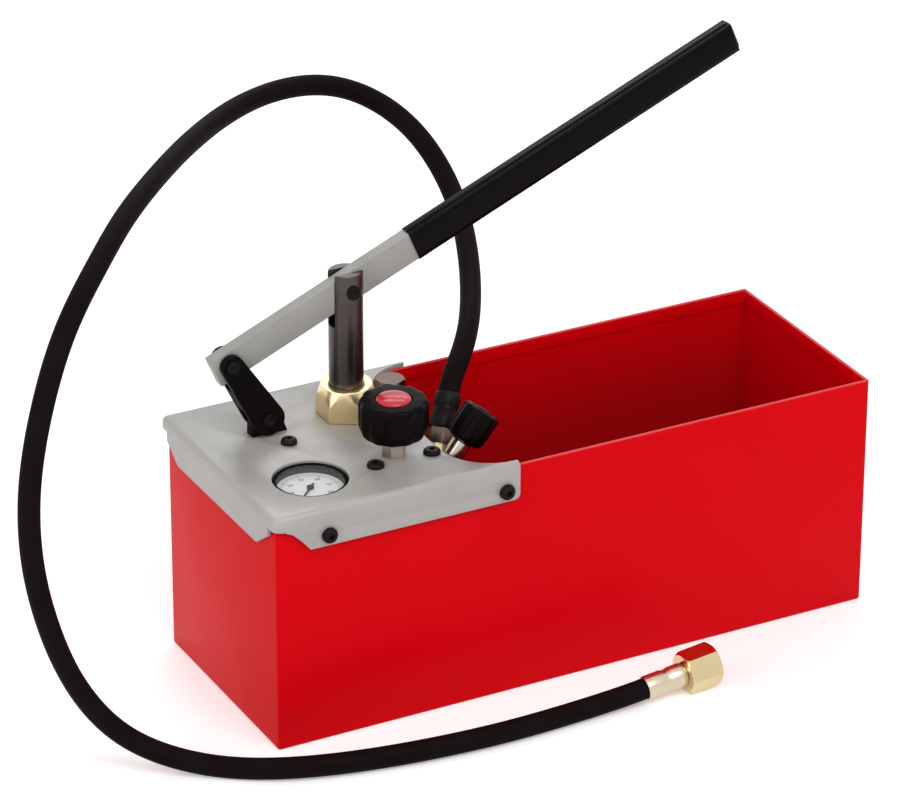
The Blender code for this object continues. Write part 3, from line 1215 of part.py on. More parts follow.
def make_needle(frame):
    rest = Matrix.Rotation(math.radians(NEEDLE_REST_DEG), 4, "Z")
    low = DIAL_TOP + 2 * CLEAR
    half = NEEDLE_WIDTH / 2
    tip = BEZEL_INNER - NEEDLE_SHORT_OF_BEZEL
    outline = [(-NEEDLE_TAIL, -half), (0, -half), (tip, -half / 4), (tip, half / 4), (0, half),
               (-NEEDLE_TAIL, half)]
    needle = flat("gauge_needle", outline, low, low + NEEDLE_THICKNESS,
                  Matrix.Translation(frame.translation) @ rest, BLACK_PLASTIC)
    join(needle,
         rod("needle_hub", NEEDLE_HUB_RADIUS, low - CLEAR / 2, low + 2 * NEEDLE_THICKNESS, frame),
         rod("needle_spindle", NEEDLE_SPINDLE_RADIUS, low - NEEDLE_SPINDLE_LENGTH, low, frame))
    return origin_to(needle, (GAUGE_X, GAUGE_Y, low))


# Hose with a crimped ferrule at each end, a nipple into the block and a union nut


def grooved(radius, low, high):
    """A ferrule's outer side, from high down to low, with a crimped waist."""
    return [(radius - FERRULE_GROOVE * sunk, low + (high - low) * up)
            for up, sunk in FERRULE_SHARES]


def make_hose():
    points = smooth_route((HOSE_START, *HOSE_ROUTE), EXIT_WAY, END_WAY, HOSE_SAMPLES)
    points.insert(1, HOSE_START + EXIT_WAY * HOSE_STRAIGHT)
    points.insert(-1, HOSE_END - END_WAY * HOSE_STRAIGHT)
    tube("hose", points, HOSE_RADIUS, BLACK_RUBBER, HOSE_SIDES)
    length = sum((b - a).length for a, b in zip(points, points[1:]))
    print(f"hose length {length:.3f} m")


def make_pump_end():
    frame = frame_at(OUTLET, EXIT_WAY)
    hex_low, hex_high = CLEAR, CLEAR + NIPPLE_HEX_LENGTH
    low, high = hex_high + CLEAR, hex_high + CLEAR + FERRULE_LENGTH
    turned("hose_ferrule", grooved(FERRULE_RADIUS, low, high)
           + [(FERRULE_BORE, low), (FERRULE_BORE, high)], frame, BLACK_OXIDE)
    nipple = hexagon("hose_nipple", NIPPLE_FLATS, hex_low, hex_high, frame, ZINC)
    join(nipple,
         rod("nipple_tail", NIPPLE_TAIL_RADIUS, hex_high - CLEAR, hex_high + NIPPLE_TAIL_LENGTH,
             frame),
         rod("nipple_stem", NIPPLE_STEM_RADIUS, hex_low - NIPPLE_STEM_LENGTH, hex_low + CLEAR,
             frame))
    cut(nipple, rod("nipple_bore", NIPPLE_BORE, hex_low - NIPPLE_STEM_LENGTH - OVERRUN,
                    hex_high + NIPPLE_TAIL_LENGTH + OVERRUN, frame))


def make_free_end():
    frame = frame_at(HOSE_END, END_WAY)
    low, high = CLEAR, CLEAR + END_FERRULE_LENGTH
    turned("union_ferrule", grooved(END_FERRULE_RADIUS, low, high)
           + [(FERRULE_BORE, low), (FERRULE_BORE, high)], frame, ZINC)
    nut_low = high + CLEAR
    lip = nut_low + UNION_LIP
    nut_high = nut_low + UNION_LENGTH
    collar_low = lip + CLEAR
    collar_high = collar_low + TAIL_COLLAR_LENGTH
    tail_low = high - NIPPLE_TAIL_LENGTH
    turned("union_tail", [
        (TAIL_COLLAR_RADIUS, collar_high), (TAIL_COLLAR_RADIUS, collar_low),
        (TAIL_NECK_RADIUS, collar_low), (TAIL_NECK_RADIUS, nut_low),
        (NIPPLE_TAIL_RADIUS, nut_low), (NIPPLE_TAIL_RADIUS, tail_low),
        (TAIL_BORE, tail_low), (TAIL_BORE, collar_high),
    ], frame, ZINC, SMALL)
    corner = UNION_FLATS / ROOT_THREE
    level = Matrix.Rotation(flat_down_turn(frame), 4, "Z")
    nut_body = hexagon("union_nut", UNION_FLATS, nut_low, nut_high, frame @ level, BRASS)
    keep_inside(nut_body, turned("union_chamfer", [
        (0, nut_high), (UNION_FLATS / 2, nut_high), (corner + CLEAR, nut_high - UNION_CHAMFER),
        (corner + CLEAR, nut_low + UNION_CHAMFER), (UNION_FLATS / 2, nut_low), (0, nut_low),
    ], frame, steps=FINE, closed=False))
    cut(nut_body,
        rod("union_lip_bore", TAIL_NECK_RADIUS + TAIL_NECK_PLAY, nut_low - OVERRUN, nut_high,
            frame, sides=ROUND),
        rod("union_thread_bore", UNION_BORE, lip, nut_high + OVERRUN, frame, sides=ROUND))
    turned("union_washer", [
        (TAIL_COLLAR_RADIUS, collar_high + CLEAR + WASHER_THICKNESS),
        (TAIL_COLLAR_RADIUS, collar_high + CLEAR), (WASHER_BORE, collar_high + CLEAR),
        (WASHER_BORE, collar_high + CLEAR + WASHER_THICKNESS),
    ], frame, FIBRE, SMALL)


def flat_down_turn(frame):
    """How far a hexagon in this frame is turned so that one of its flats faces the ground."""
    down = frame.to_3x3().inverted() @ Vector((0, 0, -1))
    return math.atan2(down.y, down.x)


make_flange_screws(make_tank(), make_cover_plate())
make_valve_block()
make_plate_screws()
make_gland()
make_ram()
make_cylinder()
make_delivery_valve()
make_lever()
make_pins()
make_link()
make_bracket()
make_shutoff_valve()
make_relief_valve()
make_gauge()
make_hose()
make_pump_end()
make_free_end()
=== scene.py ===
"""The looks of a hand-operated hydrostatic test pump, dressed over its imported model."""

import json
import math

import bmesh
import bpy
from mathutils import Matrix, Vector


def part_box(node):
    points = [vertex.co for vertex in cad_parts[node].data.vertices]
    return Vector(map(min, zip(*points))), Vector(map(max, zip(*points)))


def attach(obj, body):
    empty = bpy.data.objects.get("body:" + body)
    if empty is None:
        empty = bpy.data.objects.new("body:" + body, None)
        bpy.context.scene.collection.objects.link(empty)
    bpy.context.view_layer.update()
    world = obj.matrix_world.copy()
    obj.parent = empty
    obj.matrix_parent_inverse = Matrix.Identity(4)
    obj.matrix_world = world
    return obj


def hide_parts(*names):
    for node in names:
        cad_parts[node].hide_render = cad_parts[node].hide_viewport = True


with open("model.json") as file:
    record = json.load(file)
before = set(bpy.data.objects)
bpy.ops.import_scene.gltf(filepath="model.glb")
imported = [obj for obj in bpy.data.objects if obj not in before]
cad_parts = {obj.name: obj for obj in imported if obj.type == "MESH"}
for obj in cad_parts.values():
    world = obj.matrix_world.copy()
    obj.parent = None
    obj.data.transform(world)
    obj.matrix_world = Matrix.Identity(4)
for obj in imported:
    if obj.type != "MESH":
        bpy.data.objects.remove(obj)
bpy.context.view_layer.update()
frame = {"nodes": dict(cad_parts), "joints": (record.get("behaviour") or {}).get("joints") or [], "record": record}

joints = {joint["name"]: joint for joint in frame["joints"]}
scene = bpy.context.scene


# The studio: a camera with a long lens, where the photographer stood, and a sheet of white
# paper that runs out to a white background. A large soft box hangs above the front, with a
# panel at the left and a lamp behind.

LENS_MM = 198.786
SENSOR_MM = 36
CAMERA_PLACE = (-1.47627, -2.69137, 1.71119)
CAMERA_TURN_DEG = (63.3583, -0.1594, -27.7425)
CAMERA_CLIP = 30
LIGHTS = (
    ("key_light", (-0.1, -1.5, 1.9), (0, 0, 0.1), (1.6, 1.2), 24),
    ("left_panel", (-1.8, -0.4, 0.9), (0, 0, 0.15), (1.2, 1.2), 9),
    ("back_light", (0.7, 1.5, 1.7), (0, 0, 0.2), (1.4, 0.8), 15),
)
WHITE = (1, 1, 1)
PAPER_WHITE = (0.9, 0.9, 0.9)
SKY_LIGHT = 0.5
SEEN_SKY = 1.0
SEEN_FLOOR = 0.32
FLOOR_HALF = 6.0

camera = bpy.data.objects.new("camera", bpy.data.cameras.new("camera"))
camera.data.lens = LENS_MM
camera.data.sensor_width = SENSOR_MM
camera.data.clip_end = CAMERA_CLIP
camera.location = CAMERA_PLACE
camera.rotation_euler = [math.radians(turn) for turn in CAMERA_TURN_DEG]
scene.collection.objects.link(camera)
scene.camera = camera
scene.view_settings.view_transform = "Standard"

for name, place, aim, size, watts in LIGHTS:
    lamp = bpy.data.lights.new(name, "AREA")
    lamp.shape = "RECTANGLE"
    lamp.size, lamp.size_y = size
    lamp.energy = watts
    box = bpy.data.objects.new(name, lamp)
    box.location = place
    box.rotation_euler = (Vector(aim) - Vector(place)).to_track_quat("-Z", "Y").to_euler()
    scene.collection.objects.link(box)


class Number:
    """A shader socket that takes part in sums as a number does."""

    def __init__(self, nodes, socket):
        self.nodes = nodes
        self.socket = socket

    def __add__(self, other):
        return self.nodes.work_out("ADD", self, other)

    def __mul__(self, other):
        return self.nodes.work_out("MULTIPLY", self, other)

    __radd__ = __add__
    __rmul__ = __mul__


class Nodes:
    """A tree of shader nodes, each of them made by one method."""

    def __init__(self, tree):
        self.tree = tree

    def feed(self, socket, value):
        """Links a Number to a socket, or else sets the socket's own value."""
        if isinstance(value, Number):
            self.tree.links.new(value.socket, socket)
        elif socket.type == "RGBA":
            socket.default_value = (*value, 1)
        else:
            socket.default_value = value

    def node(self, kind, settings=None, sockets=None, output=0):
        """Adds one node: its settings first, then the values or links of its sockets."""
        made = self.tree.nodes.new(kind)
        for name, value in (settings or {}).items():
            setattr(made, name, value)
        for name, value in (sockets or {}).items():
            self.feed(made.inputs[name], value)
        return Number(self, made.outputs[output])

    def work_out(self, operation, first, second):
        return self.node("ShaderNodeMath", {"operation": operation}, {0: first, 1: second})

    def seen(self):
        """1 where the camera looks, also in metal and through glass, and 0 for other light."""
        looks = self.node("ShaderNodeLightPath", output="Is Camera Ray")
        for kind in ("Is Glossy Ray", "Is Transmission Ray"):
            other = self.node("ShaderNodeLightPath", output=kind)
            looks = self.work_out("MAXIMUM", looks, other)
        return looks


class Finish(Nodes):
    """One surface finish: a Principled shader with the nodes that vary it."""

    def __init__(self, name, roughness, metallic=0.0, coat=0.0, **others):
        self.material = bpy.data.materials.new(name)
        self.material.use_nodes = True
        super().__init__(self.material.node_tree)
        self.shader = self.tree.nodes["Principled BSDF"]
        self.set("Roughness", roughness)
        self.set("Metallic", metallic)
        self.set("Coat Weight", coat)
        for socket, value in others.items():
            self.set(socket.replace("_", " ").title().replace("Ior", "IOR"), value)
        self.where = self.node("ShaderNodeTexCoord", output="Object")

    def set(self, name, value):
        self.feed(self.shader.inputs[name], value)

    def noise(self, size, detail=3, stretch=None):
        """Cloudy noise whose lumps are about size across, in metres, stretched where asked."""
        where = self.where
        if stretch:
            where = self.node("ShaderNodeMapping", None, {"Vector": where, "Scale": stretch})
        return self.node("ShaderNodeTexNoise", None, {
            "Vector": where, "Scale": 1 / size, "Detail": detail})

    def range(self, value, low, high, to_low=0.0, to_high=1.0):
        """Spreads low to high over to_low to to_high, and holds what lies outside at the ends."""
        return self.node("ShaderNodeMapRange", None, {
            "Value": value, "From Min": low, "From Max": high,
            "To Min": to_low, "To Max": to_high})

    def cloud(self, noise, to_low=0.0, to_high=1.0):
        """Spreads the middle band of a noise, where nearly all of it lies."""
        return self.range(noise, 0.3, 0.7, to_low, to_high)

    def spots(self, size, share):
        """Scattered spots about size across, over about that share of the surface."""
        return self.range(self.noise(size, 2), 0.72 - share, 0.76 - share)

    def height(self, axis):
        """The X, Y or Z of the surface, in metres."""
        return self.node("ShaderNodeSeparateXYZ", None, {0: self.where}, output="XYZ".index(axis))

    def mix(self, share, first, second):
        """The first colour, and as much of the second in its place as share says."""
        return self.node("ShaderNodeMix", {"data_type": "RGBA", "clamp_factor": True},
                         {0: share, 6: first, 7: second}, output=2)

    def bump(self, height, depth):
        self.set("Normal", self.node("ShaderNodeBump", None, {"Height": height, "Distance": depth}))


world = bpy.data.worlds.new("studio")
world.use_nodes = True
scene.world = world
air = Nodes(world.node_tree)
background = world.node_tree.nodes["Background"]
air.feed(background.inputs["Color"], WHITE)
air.feed(background.inputs["Strength"], SKY_LIGHT + (SEEN_SKY - SKY_LIGHT) * air.seen())

paper = Finish("white_paper", 0.9, base_color=PAPER_WHITE, specular_ior_level=0.1,
               emission_color=WHITE)
paper.set("Emission Strength", SEEN_FLOOR * paper.seen())
floor_work = bmesh.new()
bmesh.ops.create_grid(floor_work, x_segments=1, y_segments=1, size=FLOOR_HALF)
floor_mesh = bpy.data.meshes.new("floor")
floor_work.to_mesh(floor_mesh)
floor_work.free()
floor_mesh.materials.append(paper.material)
floor = bpy.data.objects.new("floor", floor_mesh)
scene.collection.objects.link(floor)


# The hose: fifteen millimetres of plain black rubber over braid, pushed on its nipple and
# crimped. It leaves the valve block to the right and back, loops round the left end of the
# tank and comes to rest on the floor in front.

HOSE_DIAMETER = 0.015
HOSE_WAY_OUT = Vector((0.46, 0.50, 0.73)).normalized()
HOSE_WAY_IN = Vector((0.9950, 0.030, 0.095)).normalized()
HOSE_SAMPLES = 260
HOSE_RING_STEPS = 6
HOSE_ROUTE = [Vector(point) for point in (
    (-0.0567, 0.00085, 0.19196), (-0.0364, 0.0207, 0.2093), (-0.0045, 0.0673, 0.2241),
    (0.0207, 0.1212, 0.2386), (0.0340, 0.1735, 0.2610), (0.0210, 0.2105, 0.2950),
    (-0.0190, 0.2295, 0.3240), (-0.0710, 0.2225, 0.3370), (-0.1190, 0.1995, 0.3410),
    (-0.1610, 0.1665, 0.3440), (-0.1990, 0.1285, 0.3480), (-0.2360, 0.0895, 0.3500),
    (-0.2730, 0.0515, 0.3470), (-0.3100, 0.0145, 0.3350), (-0.3460, -0.0165, 0.3110),
    (-0.3740, -0.0395, 0.2710), (-0.3910, -0.0545, 0.2230), (-0.3930, -0.0605, 0.1700),
    (-0.3820, -0.0605, 0.1170), (-0.3620, -0.0575, 0.0680), (-0.3300, -0.0635, 0.0260),
    (-0.2870, -0.0895, 0.0080), (-0.2420, -0.1185, 0.0080), (-0.1910, -0.1335, 0.0080),
    (-0.1380, -0.1415, 0.0080), (-0.0840, -0.1445, 0.0080), (-0.0300, -0.1425, 0.0080),
    (0.0205, -0.1410, 0.0107),
)]
A_HAIR = 1e-9
BLOOM_PER_GRAIN = 40
COARSE_PER_GRAIN = 5
COARSE_SHARE = 0.4


def smooth_route(points, way_out, way_in, samples):
    """Even samples of the smooth curve that runs through the points, with its ends' ways set."""
    gaps = [(b - a).length for a, b in zip(points, points[1:])]
    slopes = [(b - a) / gap for a, b, gap in zip(points, points[1:], gaps)]
    last = len(points) - 1
    lower = [0.0] + gaps
    middle = [2 * gaps[0]] + [2 * (a + b) for a, b in zip(gaps, gaps[1:])] + [2 * gaps[-1]]
    upper = gaps + [0.0]
    right = [6 * (slopes[0] - way_out)]
    right += [6 * (b - a) for a, b in zip(slopes, slopes[1:])]
    right += [6 * (way_in - slopes[-1])]
    for i in range(1, last + 1):
        share = lower[i] / middle[i - 1]
        middle[i] -= share * upper[i - 1]
        right[i] = right[i] - share * right[i - 1]
    bends = [right[-1] / middle[-1]]
    for i in range(last - 1, -1, -1):
        bends.insert(0, (right[i] - upper[i] * bends[0]) / middle[i])
    ends = [sum(gaps[:i]) for i in range(last + 1)]
    found = []
    for step in range(samples):
        reach = ends[-1] * step / (samples - 1)
        i = max(k for k in range(last) if ends[k] <= reach + A_HAIR)
        into, left, gap = reach - ends[i], ends[i + 1] - reach, gaps[i]
        found.append(
            (bends[i] * left**3 + bends[i + 1] * into**3) / (6 * gap)
            + (points[i] / gap - bends[i] * gap / 6) * left
            + (points[i + 1] / gap - bends[i + 1] * gap / 6) * into
        )
    return found


def soft_black(name, colour, dusty, roughness, grain, depth, shine=0.05):
    """Black rubber or plastic: fine grain, a faint bloom of dust, and duller patches."""
    finish = Finish(name, roughness, specular_ior_level=shine)
    bloom = finish.noise(grain * BLOOM_PER_GRAIN, 4)
    finish.set("Base Color", finish.mix(finish.range(bloom, 0.35, 0.75), colour, dusty))
    finish.set("Roughness", finish.cloud(bloom, roughness - 0.06, roughness + 0.08))
    coarse = finish.noise(grain * COARSE_PER_GRAIN, 2)
    finish.bump(finish.noise(grain, 3) + COARSE_SHARE * coarse, depth)
    return finish


rubber = soft_black("hose_rubber", colour=(0.0066, 0.0036, 0.0038), dusty=(0.0105, 0.0064, 0.0066),
                    roughness=0.58, grain=0.0009, depth=0.0001, shine=0.025)

hose_points = smooth_route(HOSE_ROUTE, HOSE_WAY_OUT, HOSE_WAY_IN, HOSE_SAMPLES)
hose_curve = bpy.data.curves.new("hose_tube", "CURVE")
hose_curve.dimensions = "3D"
hose_curve.bevel_depth = HOSE_DIAMETER / 2
hose_curve.bevel_resolution = HOSE_RING_STEPS
hose_curve.use_fill_caps = True
hose_line = hose_curve.splines.new("POLY")
hose_line.points.add(len(hose_points) - 1)
for spot, point in zip(hose_line.points, hose_points):
    spot.co = (*point, 1)
hose = bpy.data.objects.new("hose_tube", hose_curve)
scene.collection.objects.link(hose)
hose_curve.materials.append(rubber.material)
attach(hose, "base")
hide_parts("hose")
hose_length = sum((b - a).length for a, b in zip(hose_points, hose_points[1:]))


# The tank: one sheet of steel folded up and welded at its corners, with the rim hemmed
# inwards, in a glossy red powder coat with a fine orange peel.

TANK_SHEET = 0.0012
TANK_HEM = 0.0012
TANK_HEM_HEIGHT = 0.010
TANK_FOLD = 0.0018
TANK_RIM_FOLD = 0.0009
LEFT_FACE_FROM, LEFT_FACE_TO = -0.2287, -0.2293
INSIDE_ACROSS_FROM, INSIDE_ACROSS_TO = 0.0840, 0.0836
INSIDE_ALONG_FROM, INSIDE_ALONG_TO = 0.2290, 0.2286
# Heights where the painted shade inside the tank begins and where it is at its fullest.
INSIDE_SHADE_TOP, INSIDE_SHADE_FULL = 0.178, 0.095
INSIDE_SHADE_SWAY = 0.02
# Heights of the painted highlight along the top edge of the rim.
RIM_HIGHLIGHT_FROM, RIM_HIGHLIGHT_TO = 0.1735, 0.1744
RIM_HIGHLIGHT_SWAY = 0.0012

red = Finish("red_powder_coat", 0.36, coat=0.01, coat_roughness=0.15, specular_ior_level=0.04)
tone = red.cloud(red.noise(0.25, 2))
red_coat = red.mix(tone, (0.66, 0.0002, 0.0040), (0.73, 0.0004, 0.0052))
red_coat = red.mix(red.spots(0.0011, 0.012), red_coat, (0.50, 0.003, 0.010))
along, across, up = (red.height(axis) for axis in "XYZ")
# Painted sheen: the left face gets a paler, pinker copy of the red, standing in for the sheen it catches.
left_face_sheen = red.range(along, LEFT_FACE_FROM, LEFT_FACE_TO)
red_coat = red.mix(left_face_sheen, red_coat, (0.70, 0.002, 0.005))
# Painted shade: the inside walls are darkened a little all over and more towards the bottom, standing in for the
# shade under the cover plate.
inside = red.range(across * across, INSIDE_ACROSS_FROM**2, INSIDE_ACROSS_TO**2)
inside = inside * red.range(along * along, INSIDE_ALONG_FROM**2, INSIDE_ALONG_TO**2)
inside_shade = inside * (0.05 + 0.75 * red.range(up + INSIDE_SHADE_SWAY * tone, INSIDE_SHADE_TOP, INSIDE_SHADE_FULL))
red_coat = red.mix(inside_shade, red_coat, (0.35, 0.0045, 0.0060))
# Painted highlight: the top edge of the rim is turned pale pink, standing in for the light it catches.
rim_highlight = red.range(up + RIM_HIGHLIGHT_SWAY * red.noise(0.012, 3), RIM_HIGHLIGHT_FROM, RIM_HIGHLIGHT_TO)
red.set("Base Color", red.mix(rim_highlight * 0.5, red_coat, (0.78, 0.16, 0.16)))
red.set("Roughness", red.cloud(red.noise(0.05, 3), 0.30, 0.38))
red.bump(red.noise(0.0012, 2), 0.00002)


def pushed(work, face, grow=(1, 1, 1), shift=(0, 0, 0)):
    """Extrudes a face, resizes it about its own middle and moves it."""
    face = bmesh.ops.extrude_discrete_faces(work, faces=[face])["faces"][0]
    about = Matrix.Translation(-face.calc_center_median())
    bmesh.ops.scale(work, verts=face.verts, vec=grow, space=about)
    bmesh.ops.translate(work, verts=face.verts, vec=shift)
    return face


def block_between(low, high, place=None):
    """A bmesh box between two corners, in its own place's frame."""
    work = bmesh.new()
    bmesh.ops.create_cube(work, size=1)
    bmesh.ops.scale(work, vec=high - low, verts=work.verts)
    bmesh.ops.translate(work, vec=(low + high) / 2, verts=work.verts)
    if place:
        bmesh.ops.transform(work, matrix=place, verts=work.verts)
    return work


def soften(work, radius, segments=3, sharper_than=30, among=None):
    """Rounds the edges where two faces meet at more than that angle."""
    limit = math.radians(sharper_than)
    edges = [edge for edge in among or work.edges
             if len(edge.link_faces) == 2 and edge.calc_face_angle() > limit]
    bmesh.ops.bevel(work, geom=edges, offset=radius, segments=segments, profile=0.5,
                    affect="EDGES", material=-1, clamp_overlap=True)


def finished(work, name, finish, body, slot, *replaced, smooth_to=40, turn_out=True):
    """Makes a piece of the pump from a bmesh, on its body and in its node's place."""
    if turn_out:
        bmesh.ops.recalc_face_normals(work, faces=work.faces)
    mesh = bpy.data.meshes.new(name)
    work.to_mesh(mesh)
    work.free()
    mesh.shade_smooth()
    mesh.set_sharp_from_angle(angle=math.radians(smooth_to))
    mesh.materials.append(finish.material)
    piece = bpy.data.objects.new(name, mesh)
    scene.collection.objects.link(piece)
    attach(piece, body)
    if replaced:
        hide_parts(*replaced)
    return piece


tank_low, tank_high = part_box("tank")
tank_size = tank_high - tank_low
tank_work = block_between(tank_low, tank_high)
mouth = max(tank_work.faces, key=lambda face: face.calc_center_median().z)
rim_wall = TANK_SHEET + TANK_HEM
rim_size = Vector((tank_size.x - 2 * rim_wall, tank_size.y - 2 * rim_wall))
well_size = Vector((tank_size.x - 2 * TANK_SHEET, tank_size.y - 2 * TANK_SHEET))
mouth = pushed(tank_work, mouth, (rim_size.x / tank_size.x, rim_size.y / tank_size.y, 1))
mouth = pushed(tank_work, mouth, shift=(0, 0, -TANK_HEM_HEIGHT))
mouth = pushed(tank_work, mouth, (well_size.x / rim_size.x, well_size.y / rim_size.y, 1))
pushed(tank_work, mouth, shift=(0, 0, TANK_HEM_HEIGHT + TANK_SHEET - tank_size.z))
rim_edges = [edge for edge in tank_work.edges
             if all(point.co.z > tank_high.z - TANK_SHEET / 2 for point in edge.verts)]
soften(tank_work, TANK_RIM_FOLD, among=rim_edges)
outer_edges = [edge for edge in tank_work.edges
               if all(abs(point.co.y) > tank_high.y - TANK_SHEET / 2 or point.co.z < TANK_SHEET / 2
                      for point in edge.verts)
               and any(point.co.z < TANK_SHEET / 2 for point in edge.verts)]
soften(tank_work, TANK_FOLD, among=outer_edges)
finished(tank_work, "tank_shell", red, "base", "red_paint", "tank")


# The cover plate: three-millimetre sheet folded over three sides of the tank, its corners
# relieved and its right side cut in a sweep, in a satin light grey coat.

FLAT_ENOUGH_DEG = 1.0
WELD = 0.00001
PLATE_EDGE = 0.0004

grey = Finish("grey_satin_coat", 0.42, coat=0.1, coat_roughness=0.3)
grey_coat = grey.mix(grey.cloud(grey.noise(0.03, 4)), (0.372, 0.356, 0.340), (0.410, 0.394, 0.378))
grey.set("Base Color", grey.mix(grey.spots(0.0014, 0.02), grey_coat, (0.30, 0.30, 0.29)))
grey.set("Roughness", grey.cloud(grey.noise(0.012, 3), 0.36, 0.48))
grey.bump(grey.noise(0.0011, 2), 0.00002)


def reworked(node, radius, segments=2, sharper_than=50):
    """A bmesh copy of a CAD node: its seams merged, its flats cleaned, its edges rounded."""
    work = bmesh.new()
    work.from_mesh(frame["nodes"][node].data)
    bmesh.ops.remove_doubles(work, verts=work.verts, dist=WELD)
    bmesh.ops.dissolve_limit(work, angle_limit=math.radians(FLAT_ENOUGH_DEG),
                             verts=work.verts, edges=work.edges)
    soften(work, radius, segments, sharper_than)
    return work


finished(reworked("cover_plate", PLATE_EDGE), "plate", grey, "base", "grey_paint", "cover_plate",
         smooth_to=35, turn_out=False)


# The lever: a flat bar in a slightly darker coat than the plate's, with a black vinyl grip
# pushed over its right end. The pin through the ram's fork carries it, the link its tail.

LEVER_RISE = math.radians(23)
LEVER_TAIL = 0.1085
LEVER_REACH = 0.3245
LEVER_HALF_HEIGHT = 0.011
LEVER_HALF_THICKNESS = 0.0045
LEVER_EDGE = 0.0007
# Where the darker band across the bar begins and fades out, measured along it from the fork pin.
BAND_FROM, BAND_TO = 0.014, 0.018
BAND_END_FROM, BAND_END_TO = 0.030, 0.020
BAND_SWAY = 0.006
GRIP_START = 0.054
GRIP_WALL = 0.0009
GRIP_GAP = 0.0003
GRIP_CAP = 0.0020
GRIP_EDGE = 0.0045

fork_pin = Vector(joints["lever_swing"]["pos_m"])
lever_place = Matrix.Translation(fork_pin) @ Matrix.Rotation(-LEVER_RISE, 4, "Y")

bar_grey = Finish("lever_grey_coat", 0.45, coat=0.05, coat_roughness=0.3)
bar_cloud = bar_grey.cloud(bar_grey.noise(0.02, 4))
bar_coat = bar_grey.mix(bar_cloud, (0.315, 0.305, 0.285), (0.345, 0.335, 0.312))
rise_x, rise_z = math.cos(LEVER_RISE), math.sin(LEVER_RISE)
pin_line = fork_pin.x * rise_x + fork_pin.z * rise_z
bar_way = bar_grey.height("X") * rise_x + bar_grey.height("Z") * rise_z
# A darker band across the bar just beyond the ram's fork, fading out further along it.
darker_band = bar_grey.range(bar_way + BAND_SWAY * bar_grey.noise(0.003, 3),
                        pin_line + BAND_FROM, pin_line + BAND_TO)
darker_band = darker_band * bar_grey.range(bar_way, pin_line + BAND_END_FROM, pin_line + BAND_END_TO)
bar_coat = bar_grey.mix(darker_band * 0.25, bar_coat, (0.20, 0.19, 0.18))
bar_coat = bar_grey.mix(bar_grey.spots(0.0012, 0.015), bar_coat, (0.25, 0.24, 0.23))
bar_grey.set("Base Color", bar_coat)
bar_grey.set("Roughness", bar_grey.cloud(bar_grey.noise(0.010, 3), 0.38, 0.50))
bar_grey.bump(bar_grey.noise(0.0011, 2), 0.00002)

bar = block_between(Vector((-LEVER_TAIL, -LEVER_HALF_THICKNESS, -LEVER_HALF_HEIGHT)),
                    Vector((LEVER_REACH, LEVER_HALF_THICKNESS, LEVER_HALF_HEIGHT)), lever_place)
soften(bar, LEVER_EDGE)
finished(bar, "lever_bar", bar_grey, "lever", "grey_paint", "lever")

vinyl = soft_black("grip_vinyl", colour=(0.0026, 0.0013, 0.0015), dusty=(0.0042, 0.0024, 0.0026),
                   roughness=0.26, grain=0.0012, depth=0.00003, shine=0.055)
grip_height = LEVER_HALF_HEIGHT + GRIP_GAP + GRIP_WALL
grip_thickness = LEVER_HALF_THICKNESS + GRIP_GAP + GRIP_WALL
grip_end = LEVER_REACH + GRIP_GAP
grip = block_between(Vector((GRIP_START, -grip_thickness, -grip_height)),
                     Vector((grip_end + GRIP_CAP, grip_thickness, grip_height)))
mouth = min(grip.faces, key=lambda face: face.calc_center_median().x)
mouth = pushed(grip, mouth, (1, 1 - GRIP_WALL / grip_thickness, 1 - GRIP_WALL / grip_height))
pushed(grip, mouth, shift=(grip_end - GRIP_START, 0, 0))
grip_outer = [edge for edge in grip.edges
              if all(abs(point.co.z) > grip_height - GRIP_WALL / 2 for point in edge.verts)
              and max(point.co.x for point in edge.verts) > LEVER_REACH]
soften(grip, GRIP_EDGE, segments=5, among=grip_outer)
bmesh.ops.transform(grip, matrix=lever_place, verts=grip.verts)
finished(grip, "grip_sleeve", vinyl, "lever", "black_plastic", "lever_grip")


# The ram: a ground steel bar, dark with oil, slotted at its top into a fork for the lever.
# Below the plate its end is stepped out to the piston. It slides in the gland nut.

RAM_RADIUS = 0.012
RAM_TOP_ABOVE_PIN = 0.012
RAM_SLOT = 0.0104
RAM_SLOT_BELOW_PIN = 0.027
RAM_EDGE = 0.0006
PISTON_RADIUS = 0.016
PISTON_LENGTH = 0.014
RAM_SIDES = 96

oiled = Finish("oiled_steel", 0.3, metallic=1.0)
grind = oiled.noise(0.0006, 3, (1, 1, 0.03))
oil = oiled.cloud(oiled.noise(0.02, 4))
oiled.set("Base Color", oiled.mix(oil, (0.098, 0.080, 0.074), (0.072, 0.061, 0.057)))
oiled.set("Roughness", oiled.cloud(grind, 0.28, 0.40))
oiled.bump(grind, 0.000008)


def turned(profile, place, steps=64):
    """A bmesh turned about its place's Z from (radius, height) points, closed at the axis."""
    work = bmesh.new()
    points = [work.verts.new((radius, 0, height)) for radius, height in profile]
    pairs = list(zip(points, points[1:]))
    if profile[0][0] > 0:
        pairs.append((points[-1], points[0]))
    edges = [work.edges.new(pair) for pair in pairs]
    bmesh.ops.spin(work, geom=points + edges, cent=(0, 0, 0), axis=(0, 0, 1),
                   angle=2 * math.pi, steps=steps, use_merge=True)
    bmesh.ops.remove_doubles(work, verts=work.verts, dist=WELD)
    bmesh.ops.recalc_face_normals(work, faces=work.faces)
    bmesh.ops.transform(work, matrix=place, verts=work.verts)
    return work


def added(work, other):
    """Takes another bmesh's shape into this one."""
    shape = bpy.data.meshes.new("shape")
    other.to_mesh(shape)
    other.free()
    work.from_mesh(shape)
    bpy.data.meshes.remove(shape)
    return work


